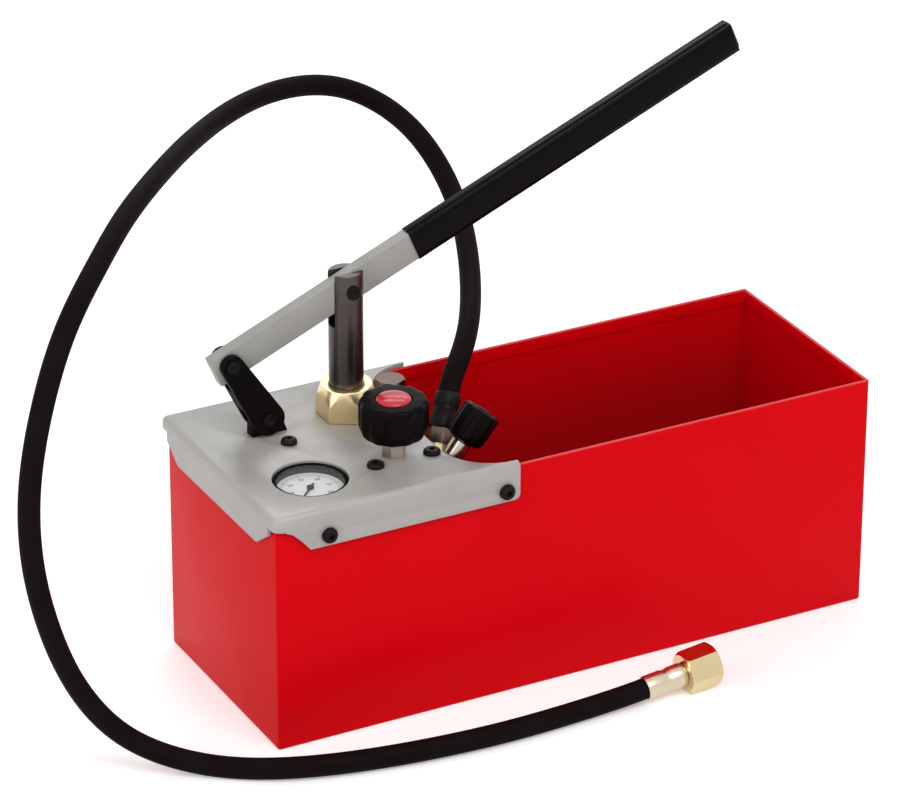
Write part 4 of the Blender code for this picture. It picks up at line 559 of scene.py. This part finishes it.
pin_place = Matrix.Translation(fork_pin)
ram_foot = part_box("ram")[0].z - fork_pin.z
piston_top = ram_foot + PISTON_LENGTH
shaft = turned([
    (0, -RAM_SLOT_BELOW_PIN), (RAM_RADIUS, -RAM_SLOT_BELOW_PIN), (RAM_RADIUS, piston_top),
    (PISTON_RADIUS, piston_top), (PISTON_RADIUS, ram_foot), (0, ram_foot),
], pin_place, RAM_SIDES)
for side in (-1, 1):
    prong = turned([
        (0, RAM_TOP_ABOVE_PIN), (RAM_RADIUS - RAM_EDGE, RAM_TOP_ABOVE_PIN),
        (RAM_RADIUS, RAM_TOP_ABOVE_PIN - RAM_EDGE), (RAM_RADIUS, -RAM_SLOT_BELOW_PIN),
        (0, -RAM_SLOT_BELOW_PIN),
    ], Matrix.Identity(4), RAM_SIDES)
    cut = bmesh.ops.bisect_plane(
        prong, geom=prong.verts[:] + prong.edges[:] + prong.faces[:], dist=WELD,
        plane_co=(0, side * RAM_SLOT / 2, 0), plane_no=(0, side, 0), clear_inner=True)
    rims = [part for part in cut["geom_cut"] if isinstance(part, bmesh.types.BMEdge)]
    bmesh.ops.contextual_create(prong, geom=rims)
    bmesh.ops.transform(prong, matrix=pin_place, verts=prong.verts)
    added(shaft, prong)
finished(shaft, "ram_bar", oiled, "ram", "dark_steel", "ram", smooth_to=30)


# Pins: turned black steel, each with a flat head at the front and a plain end at the back,
# where the real pin takes a spring clip in a groove. One joins ram and lever, one the link and
# the lever's tail, one the bracket.

PIN_EDGE = 0.0003
PIN_SIDES = 48
DIMPLE_FLOOR_SHARE = 0.36
DIMPLE_RIM_SHARE = 0.46
PINS = (
    ("fork_pin", "ram", 0.0040, 0.0052, 0.0012),
    ("link_top_pin", "link", 0.0035, 0.0048, 0.0010),
    ("link_foot_pin", "base", 0.0035, 0.0048, 0.0010),
)

blackened = soft_black("blackened_steel", colour=(0.010, 0.0085, 0.0085),
                       dusty=(0.020, 0.018, 0.017), roughness=0.4, grain=0.0005, depth=0.00002)
blackened.set("Metallic", 0.4)

for name, body, radius, head, head_height in PINS:
    low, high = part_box(name)
    centre = (low + high) / 2
    front, back = centre.y - low.y, centre.y - high.y
    dimple_floor = front - head_height / 2
    facing_front = Matrix.Translation(centre) @ Matrix.Rotation(math.pi / 2, 4, "X")
    pin = turned([
        (0, dimple_floor), (head * DIMPLE_FLOOR_SHARE, dimple_floor),
        (head * DIMPLE_RIM_SHARE, front), (head - PIN_EDGE, front), (head, front - PIN_EDGE),
        (head, front - head_height), (radius, front - head_height), (radius, back + PIN_EDGE),
        (radius - PIN_EDGE, back), (0, back),
    ], facing_front, PIN_SIDES)
    finished(pin, name + "_turned", blackened, body, "black_screws", name)


# The link: a forged black bar with a clevis at each end, one over the lever's tail and one
# over the bracket's lug, which stands up through the plate.

LINK_EDGE = 0.0011
BRACKET_EDGE = 0.0006

forged = soft_black("forged_black", colour=(0.0034, 0.0022, 0.0019), dusty=(0.0065, 0.0048, 0.0043),
                    roughness=0.45, grain=0.0014, depth=0.0001)
finished(reworked("link", LINK_EDGE, segments=3), "link_bar", forged, "link", "black_iron", "link",
         smooth_to=35, turn_out=False)
finished(reworked("link_bracket", BRACKET_EDGE), "bracket", forged, "base", "black_iron",
         "link_bracket", smooth_to=35, turn_out=False)


# Socket screws: black, round-headed, with a hexagon socket. Two hold the bracket, three the
# valve block, and four the plate's flanges to the tank.

SOCKET_FLATS = 0.004
SOCKET_DEPTH = 0.002
SHANK_RADIUS = 0.003
FLANGE_HEAD_RADIUS = 0.0055
FLANGE_HEAD_HEIGHT = 0.0038
BRACKET_HEAD_HEIGHT = 0.0036
BLOCK_HEAD_HEIGHT = 0.0032
SCREW_SIDES = 48
HALF_HEX = math.pi / 6
button_shares = ((0.62, 1.0), (0.80, 0.92), (0.93, 0.72), (1.0, 0.42), (1.0, 0.0))


def hex_radius(turn, flats):
    """How far a hexagon's side is from its middle, in the direction of turn."""
    return flats / 2 / math.cos((turn + HALF_HEX) % (2 * HALF_HEX) - HALF_HEX)


def hex_ring(work, flats, picked):
    """Moves the picked points of a turned shape out or in to a hexagon."""
    for point in work.verts:
        radius = math.hypot(point.co.x, point.co.y)
        if radius > WELD and picked(radius, point.co.z):
            reach = hex_radius(math.atan2(point.co.y, point.co.x), flats)
            point.co.x *= reach / radius
            point.co.y *= reach / radius


def socket_screw(node, place, head, height, length):
    """A screw whose head's underside is at its place and whose head points along Z."""
    start, socket_floor = SOCKET_FLATS / 2, height - SOCKET_DEPTH
    button = [(head * out, height * up) for out, up in button_shares]
    work = turned(
        [(0, socket_floor), (start, socket_floor), (start, height)] + button
        + [(SHANK_RADIUS, 0), (SHANK_RADIUS, -length), (0, -length)],
        Matrix.Identity(4), SCREW_SIDES)
    hex_ring(work, SOCKET_FLATS, lambda radius, z: abs(radius - start) < WELD and z > 0)
    bmesh.ops.transform(work, matrix=place, verts=work.verts)
    finished(work, node + "_turned", blackened, "base", "black_screws", node)


for node in frame["nodes"]:
    if "screw" not in node:
        continue
    low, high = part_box(node)
    centre = (low + high) / 2
    if node.startswith("flange"):
        out = -1 if centre.y < 0 else 1
        tip = low.y if out < 0 else high.y
        place = Matrix.Translation((centre.x, tip - out * FLANGE_HEAD_HEIGHT, centre.z))
        socket_screw(node, place @ Matrix.Rotation(-out * math.pi / 2, 4, "X"), FLANGE_HEAD_RADIUS,
                     FLANGE_HEAD_HEIGHT, high.y - low.y - FLANGE_HEAD_HEIGHT)
    else:
        height = BRACKET_HEAD_HEIGHT if node.startswith("bracket") else BLOCK_HEAD_HEIGHT
        place = Matrix.Translation((centre.x, centre.y, high.z - height))
        socket_screw(node, place, (high.x - low.x) / 2, height, high.z - low.z - height)


# The gland nut: turned from hexagonal brass bar, coned at its top, worn bright by the
# spanner. It presses the packing round the ram.

CLEAR = 0.0003
GLAND_FLATS = 0.037
GLAND_FACE = 0.0177
GLAND_CONE = 0.0125
GLAND_THREAD_RADIUS = 0.0150
HEX_EDGE = 0.0003
HEX_SIDES = 96
CONE_FROM_SHARE = 0.9


def machined_metal(name, colour, dull, roughness):
    """Metal as machined: fine turning marks, faint tarnish, and duller flats."""
    finish = Finish(name, roughness, metallic=1.0)
    tarnish = finish.range(finish.noise(0.03, 3), 0.3, 0.8)
    finish.set("Base Color", finish.mix(tarnish, colour, dull))
    finish.set("Roughness",
               finish.cloud(finish.noise(0.015, 3), roughness - 0.03, roughness + 0.05))
    finish.bump(finish.noise(0.0005, 2, (0.15, 0.15, 1)), 0.000006)
    return finish


def hex_bar(flats, low, high, face, drop, place, bore=0.0):
    """A hexagonal bar whose top is turned to a cone: from the face's radius it falls by drop."""
    corner = flats / math.sqrt(3)
    side = [(face, high), (corner, high - drop), (corner, low)]
    profile = [(bore, high)] + side + [(bore, low)]
    work = turned(profile, Matrix.Identity(4), HEX_SIDES)
    slope = drop / (corner - face)
    hex_ring(work, flats, lambda radius, z: abs(radius - corner) < WELD)
    for point in work.verts:
        radius = math.hypot(point.co.x, point.co.y)
        if abs(point.co.z - (high - drop)) < WELD and radius > face * CONE_FROM_SHARE:
            point.co.z = high - max(0.0, radius - face) * slope
    bmesh.ops.transform(work, matrix=place, verts=work.verts)
    return work


brass = machined_metal("brass", colour=(0.98, 0.78, 0.45), dull=(0.88, 0.69, 0.39), roughness=0.30)
ram_axis = Matrix.Translation((fork_pin.x, fork_pin.y, 0))
gland_low, gland_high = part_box("gland_nut")
plate_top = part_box("cover_plate")[1].z
gland_seat = plate_top + CLEAR
gland_bore = RAM_RADIUS + CLEAR
gland = hex_bar(GLAND_FLATS, gland_seat, gland_high.z, GLAND_FACE, GLAND_CONE, ram_axis, gland_bore)
soften(gland, HEX_EDGE, segments=2, sharper_than=25)
thread = turned([(GLAND_THREAD_RADIUS, gland_seat), (GLAND_THREAD_RADIUS, gland_low.z),
                 (gland_bore, gland_low.z), (gland_bore, gland_seat)], ram_axis)
finished(added(gland, thread), "gland", brass, "base", "brass", "gland_nut", smooth_to=30)


# Plated fittings: the hexagonal plug over the delivery valve, its plating worn dull, and the
# bright necks of both valves. All are brass under the nickel, and screwed into the block.

PLUG_FLATS = 0.019
PLUG_HEIGHT = 0.0119
PLUG_FACE = 0.0095
NECK_FLATS = 0.0145
NECK_CONE = 0.0012
NECK_EDGE = 0.0002
NECK_TURN = math.pi / 9
COLLAR_RADIUS = 0.0072
COLLAR_HEIGHT = 0.003
COLLAR_EDGE = 0.0005
RELIEF_RADIUS = 0.0073
RELIEF_LENGTH = 0.0185
RELIEF_EDGE = 0.0006
KNOB_GAP = 0.0008

nickel = Finish("nickel", 0.2, metallic=1.0)
clouded = nickel.range(nickel.noise(0.01, 3), 0.35, 0.7)
nickel.set("Base Color", nickel.mix(clouded, (0.57, 0.50, 0.42), (0.48, 0.42, 0.35)))
nickel.set("Roughness", nickel.cloud(nickel.noise(0.004, 3), 0.16, 0.27))
nickel.bump(nickel.noise(0.0009, 2), 0.000005)
worn_nickel = machined_metal("worn_nickel", colour=(0.155, 0.118, 0.095),
                             dull=(0.10, 0.072, 0.062), roughness=0.33)

plug_low, plug_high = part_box("hex_plug")
plug_middle = (plug_low + plug_high) / 2
plug = hex_bar(PLUG_FLATS, plug_high.z - PLUG_HEIGHT, plug_high.z, PLUG_FACE,
               PLUG_FLATS / math.sqrt(3) - PLUG_FACE,
               Matrix.Translation((plug_middle.x, plug_middle.y, 0)))
soften(plug, HEX_EDGE, segments=2, sharper_than=25)
finished(plug, "plug", worn_nickel, "base", "nickel", "hex_plug", smooth_to=30)

shutoff = Vector(joints["shutoff_turn"]["pos_m"])
shutoff_place = Matrix.Translation(shutoff)
collar_foot = -KNOB_GAP - COLLAR_HEIGHT
neck = hex_bar(NECK_FLATS, plate_top - shutoff.z, collar_foot, NECK_FLATS / 2, NECK_CONE,
               shutoff_place @ Matrix.Rotation(NECK_TURN, 4, "Z"))
soften(neck, NECK_EDGE, segments=2, sharper_than=25)
collar = turned([
    (0, -KNOB_GAP), (COLLAR_RADIUS - COLLAR_EDGE, -KNOB_GAP),
    (COLLAR_RADIUS, -KNOB_GAP - COLLAR_EDGE), (COLLAR_RADIUS, collar_foot - CLEAR),
    (0, collar_foot - CLEAR),
], shutoff_place)
finished(added(neck, collar), "shutoff_bonnet", nickel, "base", "nickel", "shutoff_neck",
         smooth_to=30)


def along_way(point, way):
    """The frame at a point whose Z runs along way."""
    turn = Vector(way).to_track_quat("Z", "Y").to_matrix().to_4x4()
    return Matrix.Translation(Vector(point)) @ turn


relief_place = along_way(joints["relief_turn"]["pos_m"], joints["relief_turn"]["axis"])
bonnet = turned([
    (0, -KNOB_GAP), (RELIEF_RADIUS - RELIEF_EDGE, -KNOB_GAP),
    (RELIEF_RADIUS, -KNOB_GAP - RELIEF_EDGE), (RELIEF_RADIUS, -RELIEF_LENGTH), (0, -RELIEF_LENGTH),
], relief_place)
finished(bonnet, "relief_bonnet", nickel, "base", "nickel", "relief_neck", smooth_to=30)


# The valve knobs: black moulded plastic with twelve shallow flutes, rounded in at the foot.
# A cap is pressed in a recess at the top, glossy red on the large knob, black on the small.

SHUTOFF_KNOB_RADIUS, SHUTOFF_KNOB_HEIGHT = 0.024, 0.027
RELIEF_KNOB_RADIUS, RELIEF_KNOB_HEIGHT = 0.0138, 0.0245
RECESS_DEPTH = 0.0012
CAP_GAP = 0.001
KNOB_FLUTES = 12
KNOB_SIDES = 144
CAP_SHARE = 0.5
CAP_RISE_SHARE = 0.15
FOOT_SHARE = 0.73
FLUTE_DEPTH_SHARE = 0.056
FLUTE_STEEPNESS = 1.3
knob_shares = ((0.73, 0.0), (0.86, 0.03), (0.94, 0.11), (0.985, 0.22), (1.0, 0.34), (1.0, 0.86),
               (0.985, 0.93), (0.94, 0.975), (0.86, 1.0))
dome_shares = ((0, 1), (0.35, 0.97), (0.62, 0.86), (0.82, 0.68), (0.93, 0.52), (0.985, 0.36),
               (1, 0.2), (1, 0))

knob_plastic = soft_black("knob_plastic", colour=(0.0028, 0.0014, 0.0016),
                          dusty=(0.0060, 0.0040, 0.0040), roughness=0.34, grain=0.0007,
                          depth=0.00003, shine=0.04)
cap_red = Finish("red_cap_plastic", 0.22, coat=0.25, coat_roughness=0.08)
cap_tone = cap_red.cloud(cap_red.noise(0.01, 2))
cap_red.set("Base Color", cap_red.mix(cap_tone, (0.62, 0.012, 0.030), (0.50, 0.008, 0.020)))
cap_red.set("Roughness", cap_red.cloud(cap_red.noise(0.004, 3), 0.18, 0.28))
cap_red.bump(cap_red.noise(0.0012, 2), 0.000006)


def knob(name, place, radius, height, cap_finish, cap_slot):
    """A knob and its cap: the flutes fade out towards the top's flat rim."""
    cap, foot = radius * CAP_SHARE, radius * FOOT_SHARE
    recess, recess_floor = cap + CAP_GAP, height - RECESS_DEPTH
    outline = [(radius * out, height * up) for out, up in knob_shares]
    profile = [(0, 0)] + outline + [(recess, height), (recess, recess_floor), (0, recess_floor)]
    work = turned(profile[::-1], Matrix.Identity(4), KNOB_SIDES)
    for point in work.verts:
        reach = math.hypot(point.co.x, point.co.y)
        if reach < foot:
            continue
        flute = (1 - math.cos(KNOB_FLUTES * math.atan2(point.co.y, point.co.x))) / 2
        depth = min(1.0, (reach - foot) / (radius - foot) * FLUTE_STEEPNESS)
        point.co.x *= 1 - FLUTE_DEPTH_SHARE * flute * depth
        point.co.y *= 1 - FLUTE_DEPTH_SHARE * flute * depth
    bmesh.ops.transform(work, matrix=place, verts=work.verts)
    body = name + "_knob"
    finished(work, name + "_knob_moulded", knob_plastic, body, "black_plastic", name + "_knob")
    low, rise = recess_floor + CLEAR, radius * CAP_RISE_SHARE
    dome = [(cap * out, low + rise * up) for out, up in dome_shares]
    finished(turned(dome + [(0, low)], place), name + "_cap_moulded", cap_finish, body, cap_slot,
             name + "_cap")


knob("shutoff", shutoff_place, SHUTOFF_KNOB_RADIUS, SHUTOFF_KNOB_HEIGHT, cap_red, "red_cap")
knob("relief", relief_place, RELIEF_KNOB_RADIUS, RELIEF_KNOB_HEIGHT, knob_plastic, "black_plastic")


# The pressure gauge: a black case sunk in the plate and screwed to the block by its stem,
# with a white printed dial and a black needle under a clear window.

BEZEL_RADIUS = 0.0250
BEZEL_INNER = 0.0232
BEZEL_EDGE = 0.0006
BEZEL_LIP = 0.0011
BEZEL_LIP_REACH = 0.0014
DIAL_SHEET = 0.0008
DIAL_RIB = 0.0015
GAUGE_SIDES = 128
WINDOW_SIDES = 96
SCALE_START = math.radians(225)
SCALE_SWEEP = math.radians(270)
SCALE_STEPS = 60
SCALE_NUMBERS = 6
SCALE_RADIUS = 0.0205
LONG_TICK, LONG_TICK_HALF = 0.0034, 0.00022
SHORT_TICK, SHORT_TICK_HALF = 0.0018, 0.00010
INK_RISE = 0.00005
NUMERAL_SIZE = 0.0042
NUMERAL_RADIUS = 0.0142

gauge_plastic = soft_black("gauge_plastic", colour=(0.0024, 0.0014, 0.0018),
                           dusty=(0.0046, 0.0030, 0.0034), roughness=0.3, grain=0.0008,
                           depth=0.00002, shine=0.03)
bezel_low, bezel_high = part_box("gauge_bezel")
gauge_middle = (bezel_low + bezel_high) / 2
gauge_place = Matrix.Translation((gauge_middle.x, gauge_middle.y, 0))
bezel_top = bezel_high.z
lip_low = bezel_top - BEZEL_LIP
bezel = turned([
    (BEZEL_RADIUS - BEZEL_EDGE, bezel_top), (BEZEL_RADIUS, bezel_top - BEZEL_EDGE),
    (BEZEL_RADIUS, bezel_low.z), (BEZEL_INNER + BEZEL_LIP_REACH, bezel_low.z),
    (BEZEL_INNER + BEZEL_LIP_REACH, lip_low), (BEZEL_INNER, lip_low),
    (BEZEL_INNER + BEZEL_EDGE, bezel_top),
], gauge_place, GAUGE_SIDES)
finished(bezel, "bezel", gauge_plastic, "base", "black_plastic", "gauge_bezel", smooth_to=30)

dial_white = Finish("dial_white", 0.5)
dial_tone = dial_white.cloud(dial_white.noise(0.02, 2))
dial_white.set("Base Color", dial_white.mix(dial_tone, (0.78, 0.79, 0.78), (0.86, 0.87, 0.86)))
dial_white.set("Roughness", dial_white.cloud(dial_white.noise(0.004, 2), 0.42, 0.56))
dial_white.bump(dial_white.noise(0.0008, 2), 0.00001)
dial_low, dial_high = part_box("gauge_dial")
dial_radius = (dial_high.x - dial_low.x) / 2
dial_face, dial_back = dial_high.z, dial_high.z - DIAL_SHEET
dial = turned([
    (0, dial_face), (dial_radius, dial_face), (dial_radius, dial_low.z),
    (dial_radius - DIAL_RIB, dial_low.z), (dial_radius - DIAL_RIB, dial_back), (0, dial_back),
], gauge_place, GAUGE_SIDES)
finished(dial, "dial", dial_white, "base", "dial_white", "gauge_dial", smooth_to=30)

ink = soft_black("dial_ink", colour=(0.02, 0.02, 0.022), dusty=(0.03, 0.03, 0.032),
                 roughness=0.5, grain=0.001, depth=0.00001)
ticks = bmesh.new()
for step in range(SCALE_STEPS + 1):
    numbered = step % (SCALE_STEPS // SCALE_NUMBERS) == 0
    reach, half = (LONG_TICK, LONG_TICK_HALF) if numbered else (SHORT_TICK, SHORT_TICK_HALF)
    turn = Matrix.Rotation(SCALE_START - SCALE_SWEEP * step / SCALE_STEPS, 4, "Z")
    tick = block_between(Vector((SCALE_RADIUS - reach, -half, dial_face - INK_RISE)),
                         Vector((SCALE_RADIUS, half, dial_face + INK_RISE)), gauge_place @ turn)
    added(ticks, tick)
finished(ticks, "dial_scale", ink, "base", "black_plastic")

for index in range(SCALE_NUMBERS + 1):
    text = bpy.data.curves.new("numeral", "FONT")
    text.body = str(index * SCALE_STEPS // SCALE_NUMBERS)
    text.size = NUMERAL_SIZE
    text.align_x = "CENTER"
    text.align_y = "CENTER"
    text.extrude = INK_RISE
    holder = bpy.data.objects.new("numeral", text)
    scene.collection.objects.link(holder)
    flat = holder.evaluated_get(bpy.context.evaluated_depsgraph_get())
    shape = bpy.data.meshes.new_from_object(flat)
    bpy.data.objects.remove(holder, do_unlink=True)
    numeral = bmesh.new()
    numeral.from_mesh(shape)
    bpy.data.meshes.remove(shape)
    turn = SCALE_START - SCALE_SWEEP * index / SCALE_NUMBERS
    spot = gauge_place @ Matrix.Translation((NUMERAL_RADIUS * math.cos(turn),
                                             NUMERAL_RADIUS * math.sin(turn), dial_face))
    bmesh.ops.transform(numeral, matrix=spot, verts=numeral.verts)
    bmesh.ops.remove_doubles(numeral, verts=numeral.verts, dist=WELD)
    finished(numeral, f"numeral_{index}", ink, "base", "black_plastic")

glass = Finish("gauge_window", 0.06, ior=1.49)
glass.set("Base Color", glass.mix(glass.noise(0.02, 2), (0.92, 0.95, 0.95), (0.88, 0.92, 0.92)))
glass.set("Alpha", 0.05)
lens_low, lens_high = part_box("gauge_lens")
lens_radius = (lens_high.x - lens_low.x) / 2
lens = turned([
    (0, lens_high.z), (lens_radius, lens_high.z), (lens_radius, lens_low.z), (0, lens_low.z),
], gauge_place, WINDOW_SIDES)
finished(lens, "window", glass, "base", "lens", "gauge_lens", smooth_to=30)


# Hose fittings: a black ferrule crimped on where the hose leaves the block, and at the free
# end a pale plated ferrule, its tail and a brass union nut that turns on it.

PUMP_FERRULE_RADIUS, PUMP_FERRULE_LENGTH = 0.0090, 0.026
END_FERRULE_RADIUS, END_FERRULE_LENGTH = 0.0085, 0.031
FERRULE_BORE = 0.0042
FERRULE_GROOVE = 0.0006
NIPPLE_EDGE = 0.0003
UNION_FLATS = 0.027
UNION_LENGTH = 0.0245
UNION_LIP = 0.004
UNION_LIP_BORE = 0.0072
UNION_BORE = 0.0108
UNION_BORE_EDGE = 0.0006
UNION_CHAMFER = 0.0016
UNION_EDGE = 0.00025
crimp_shares = ((1.0, 1.0), (0.96, 0.25), (0.92, 0.0), (0.67, 0.0), (0.63, 0.7), (0.60, 1.0),
                (0.52, 1.0), (0.49, 0.7), (0.45, 0.0), (0.06, 0.0), (0.02, 0.25), (0.0, 1.0))


def ferrule(radius, low, high, place):
    """A tube with two crimped grooves and worn ends."""
    rise = high - low
    profile = [(radius - FERRULE_GROOVE * sunk, low + rise * up) for up, sunk in crimp_shares]
    return turned(profile + [(FERRULE_BORE, low), (FERRULE_BORE, high)], place)


pump_end = along_way(HOSE_ROUTE[0], HOSE_WAY_OUT)
pump_ferrule = ferrule(PUMP_FERRULE_RADIUS, -CLEAR - PUMP_FERRULE_LENGTH, -CLEAR, pump_end)
finished(pump_ferrule, "pump_ferrule", blackened, "base", "black_ferrule", "hose_ferrule",
         smooth_to=50)
finished(reworked("hose_nipple", NIPPLE_EDGE), "nipple", worn_nickel, "base", "zinc",
         "hose_nipple", smooth_to=30, turn_out=False)

plated = machined_metal("pale_plate", colour=(0.68, 0.60, 0.46), dull=(0.60, 0.53, 0.40),
                        roughness=0.26)
free_end = along_way(HOSE_ROUTE[-1], HOSE_WAY_IN)
end_ferrule = ferrule(END_FERRULE_RADIUS, CLEAR, CLEAR + END_FERRULE_LENGTH, free_end)
end_ferrule = finished(end_ferrule, "end_ferrule", plated, "base", "zinc", "union_ferrule",
                       smooth_to=50)

nut_brass = machined_metal("union_brass", colour=(0.72, 0.59, 0.34), dull=(0.66, 0.53, 0.30),
                           roughness=0.2)
nut_low = 2 * CLEAR + END_FERRULE_LENGTH
nut_high = nut_low + UNION_LENGTH
union_corner, union_face = UNION_FLATS / math.sqrt(3), UNION_FLATS / 2
down = free_end.to_3x3().inverted() @ Vector((0, 0, -1))
level = Matrix.Rotation(math.atan2(down.y, down.x), 4, "Z")
union = turned([
    (UNION_BORE + UNION_BORE_EDGE, nut_high), (union_face, nut_high),
    (union_corner, nut_high - UNION_CHAMFER), (union_corner, nut_low + UNION_CHAMFER),
    (union_face, nut_low), (UNION_LIP_BORE, nut_low), (UNION_LIP_BORE, nut_low + UNION_LIP),
    (UNION_BORE, nut_low + UNION_LIP), (UNION_BORE, nut_high - UNION_BORE_EDGE),
], Matrix.Identity(4), HEX_SIDES)
hex_ring(union, UNION_FLATS, lambda radius, z: abs(radius - union_corner) < WELD)
chamfer_slope = UNION_CHAMFER / (union_corner - union_face)
for point in union.verts:
    radius = math.hypot(point.co.x, point.co.y)
    rise = max(0.0, radius - union_face) * chamfer_slope
    if abs(point.co.z - (nut_high - UNION_CHAMFER)) < WELD:
        point.co.z = nut_high - rise
    elif abs(point.co.z - (nut_low + UNION_CHAMFER)) < WELD:
        point.co.z = nut_low + rise
bmesh.ops.transform(union, matrix=free_end @ level, verts=union.verts)
soften(union, UNION_EDGE, segments=2, sharper_than=25)
union_nut = finished(union, "union_hexagon", nut_brass, "union_nut", "brass", "union_nut",
                     smooth_to=30)


# Pieces below the plate and inside the fittings keep the shape they were modelled in and
# take the finish of what they are made of: cast brass, bright or black steel, fibre, rubber.

cast_brass = machined_metal("cast_brass", colour=(0.62, 0.50, 0.27), dull=(0.48, 0.38, 0.20),
                            roughness=0.42)
bright = Finish("bright_steel", 0.25, metallic=1.0)
bright.set("Base Color", bright.mix(bright.noise(0.01, 3), (0.60, 0.59, 0.58), (0.52, 0.51, 0.50)))
bright.set("Roughness", bright.cloud(bright.noise(0.003, 3), 0.2, 0.32))
bright.bump(bright.noise(0.0006, 2, (1, 1, 0.1)), 0.00002)
fibre = Finish("pressed_fibre", 0.8)
fibre.set("Base Color", fibre.mix(fibre.noise(0.0015, 4), (0.24, 0.19, 0.13), (0.16, 0.12, 0.08)))
fibre.bump(fibre.noise(0.0006, 3), 0.0001)
finish_of_slot = {
    "red_paint": red, "grey_paint": grey, "black_screws": blackened, "zinc": plated,
    "brass": cast_brass, "fibre": fibre, "rubber": rubber, "black_iron": forged, "nickel": nickel,
    "black_plastic": gauge_plastic, "dial_white": dial_white, "lens": glass,
    "black_ferrule": blackened, "dark_steel": oiled, "bright_steel": bright, "red_cap": cap_red,
}
for row in frame["record"]["subparts"]:
    node = frame["nodes"][row["node"]]
    node.data.materials.clear()
    node.data.materials.append(finish_of_slot[row["material_slot"]].material)
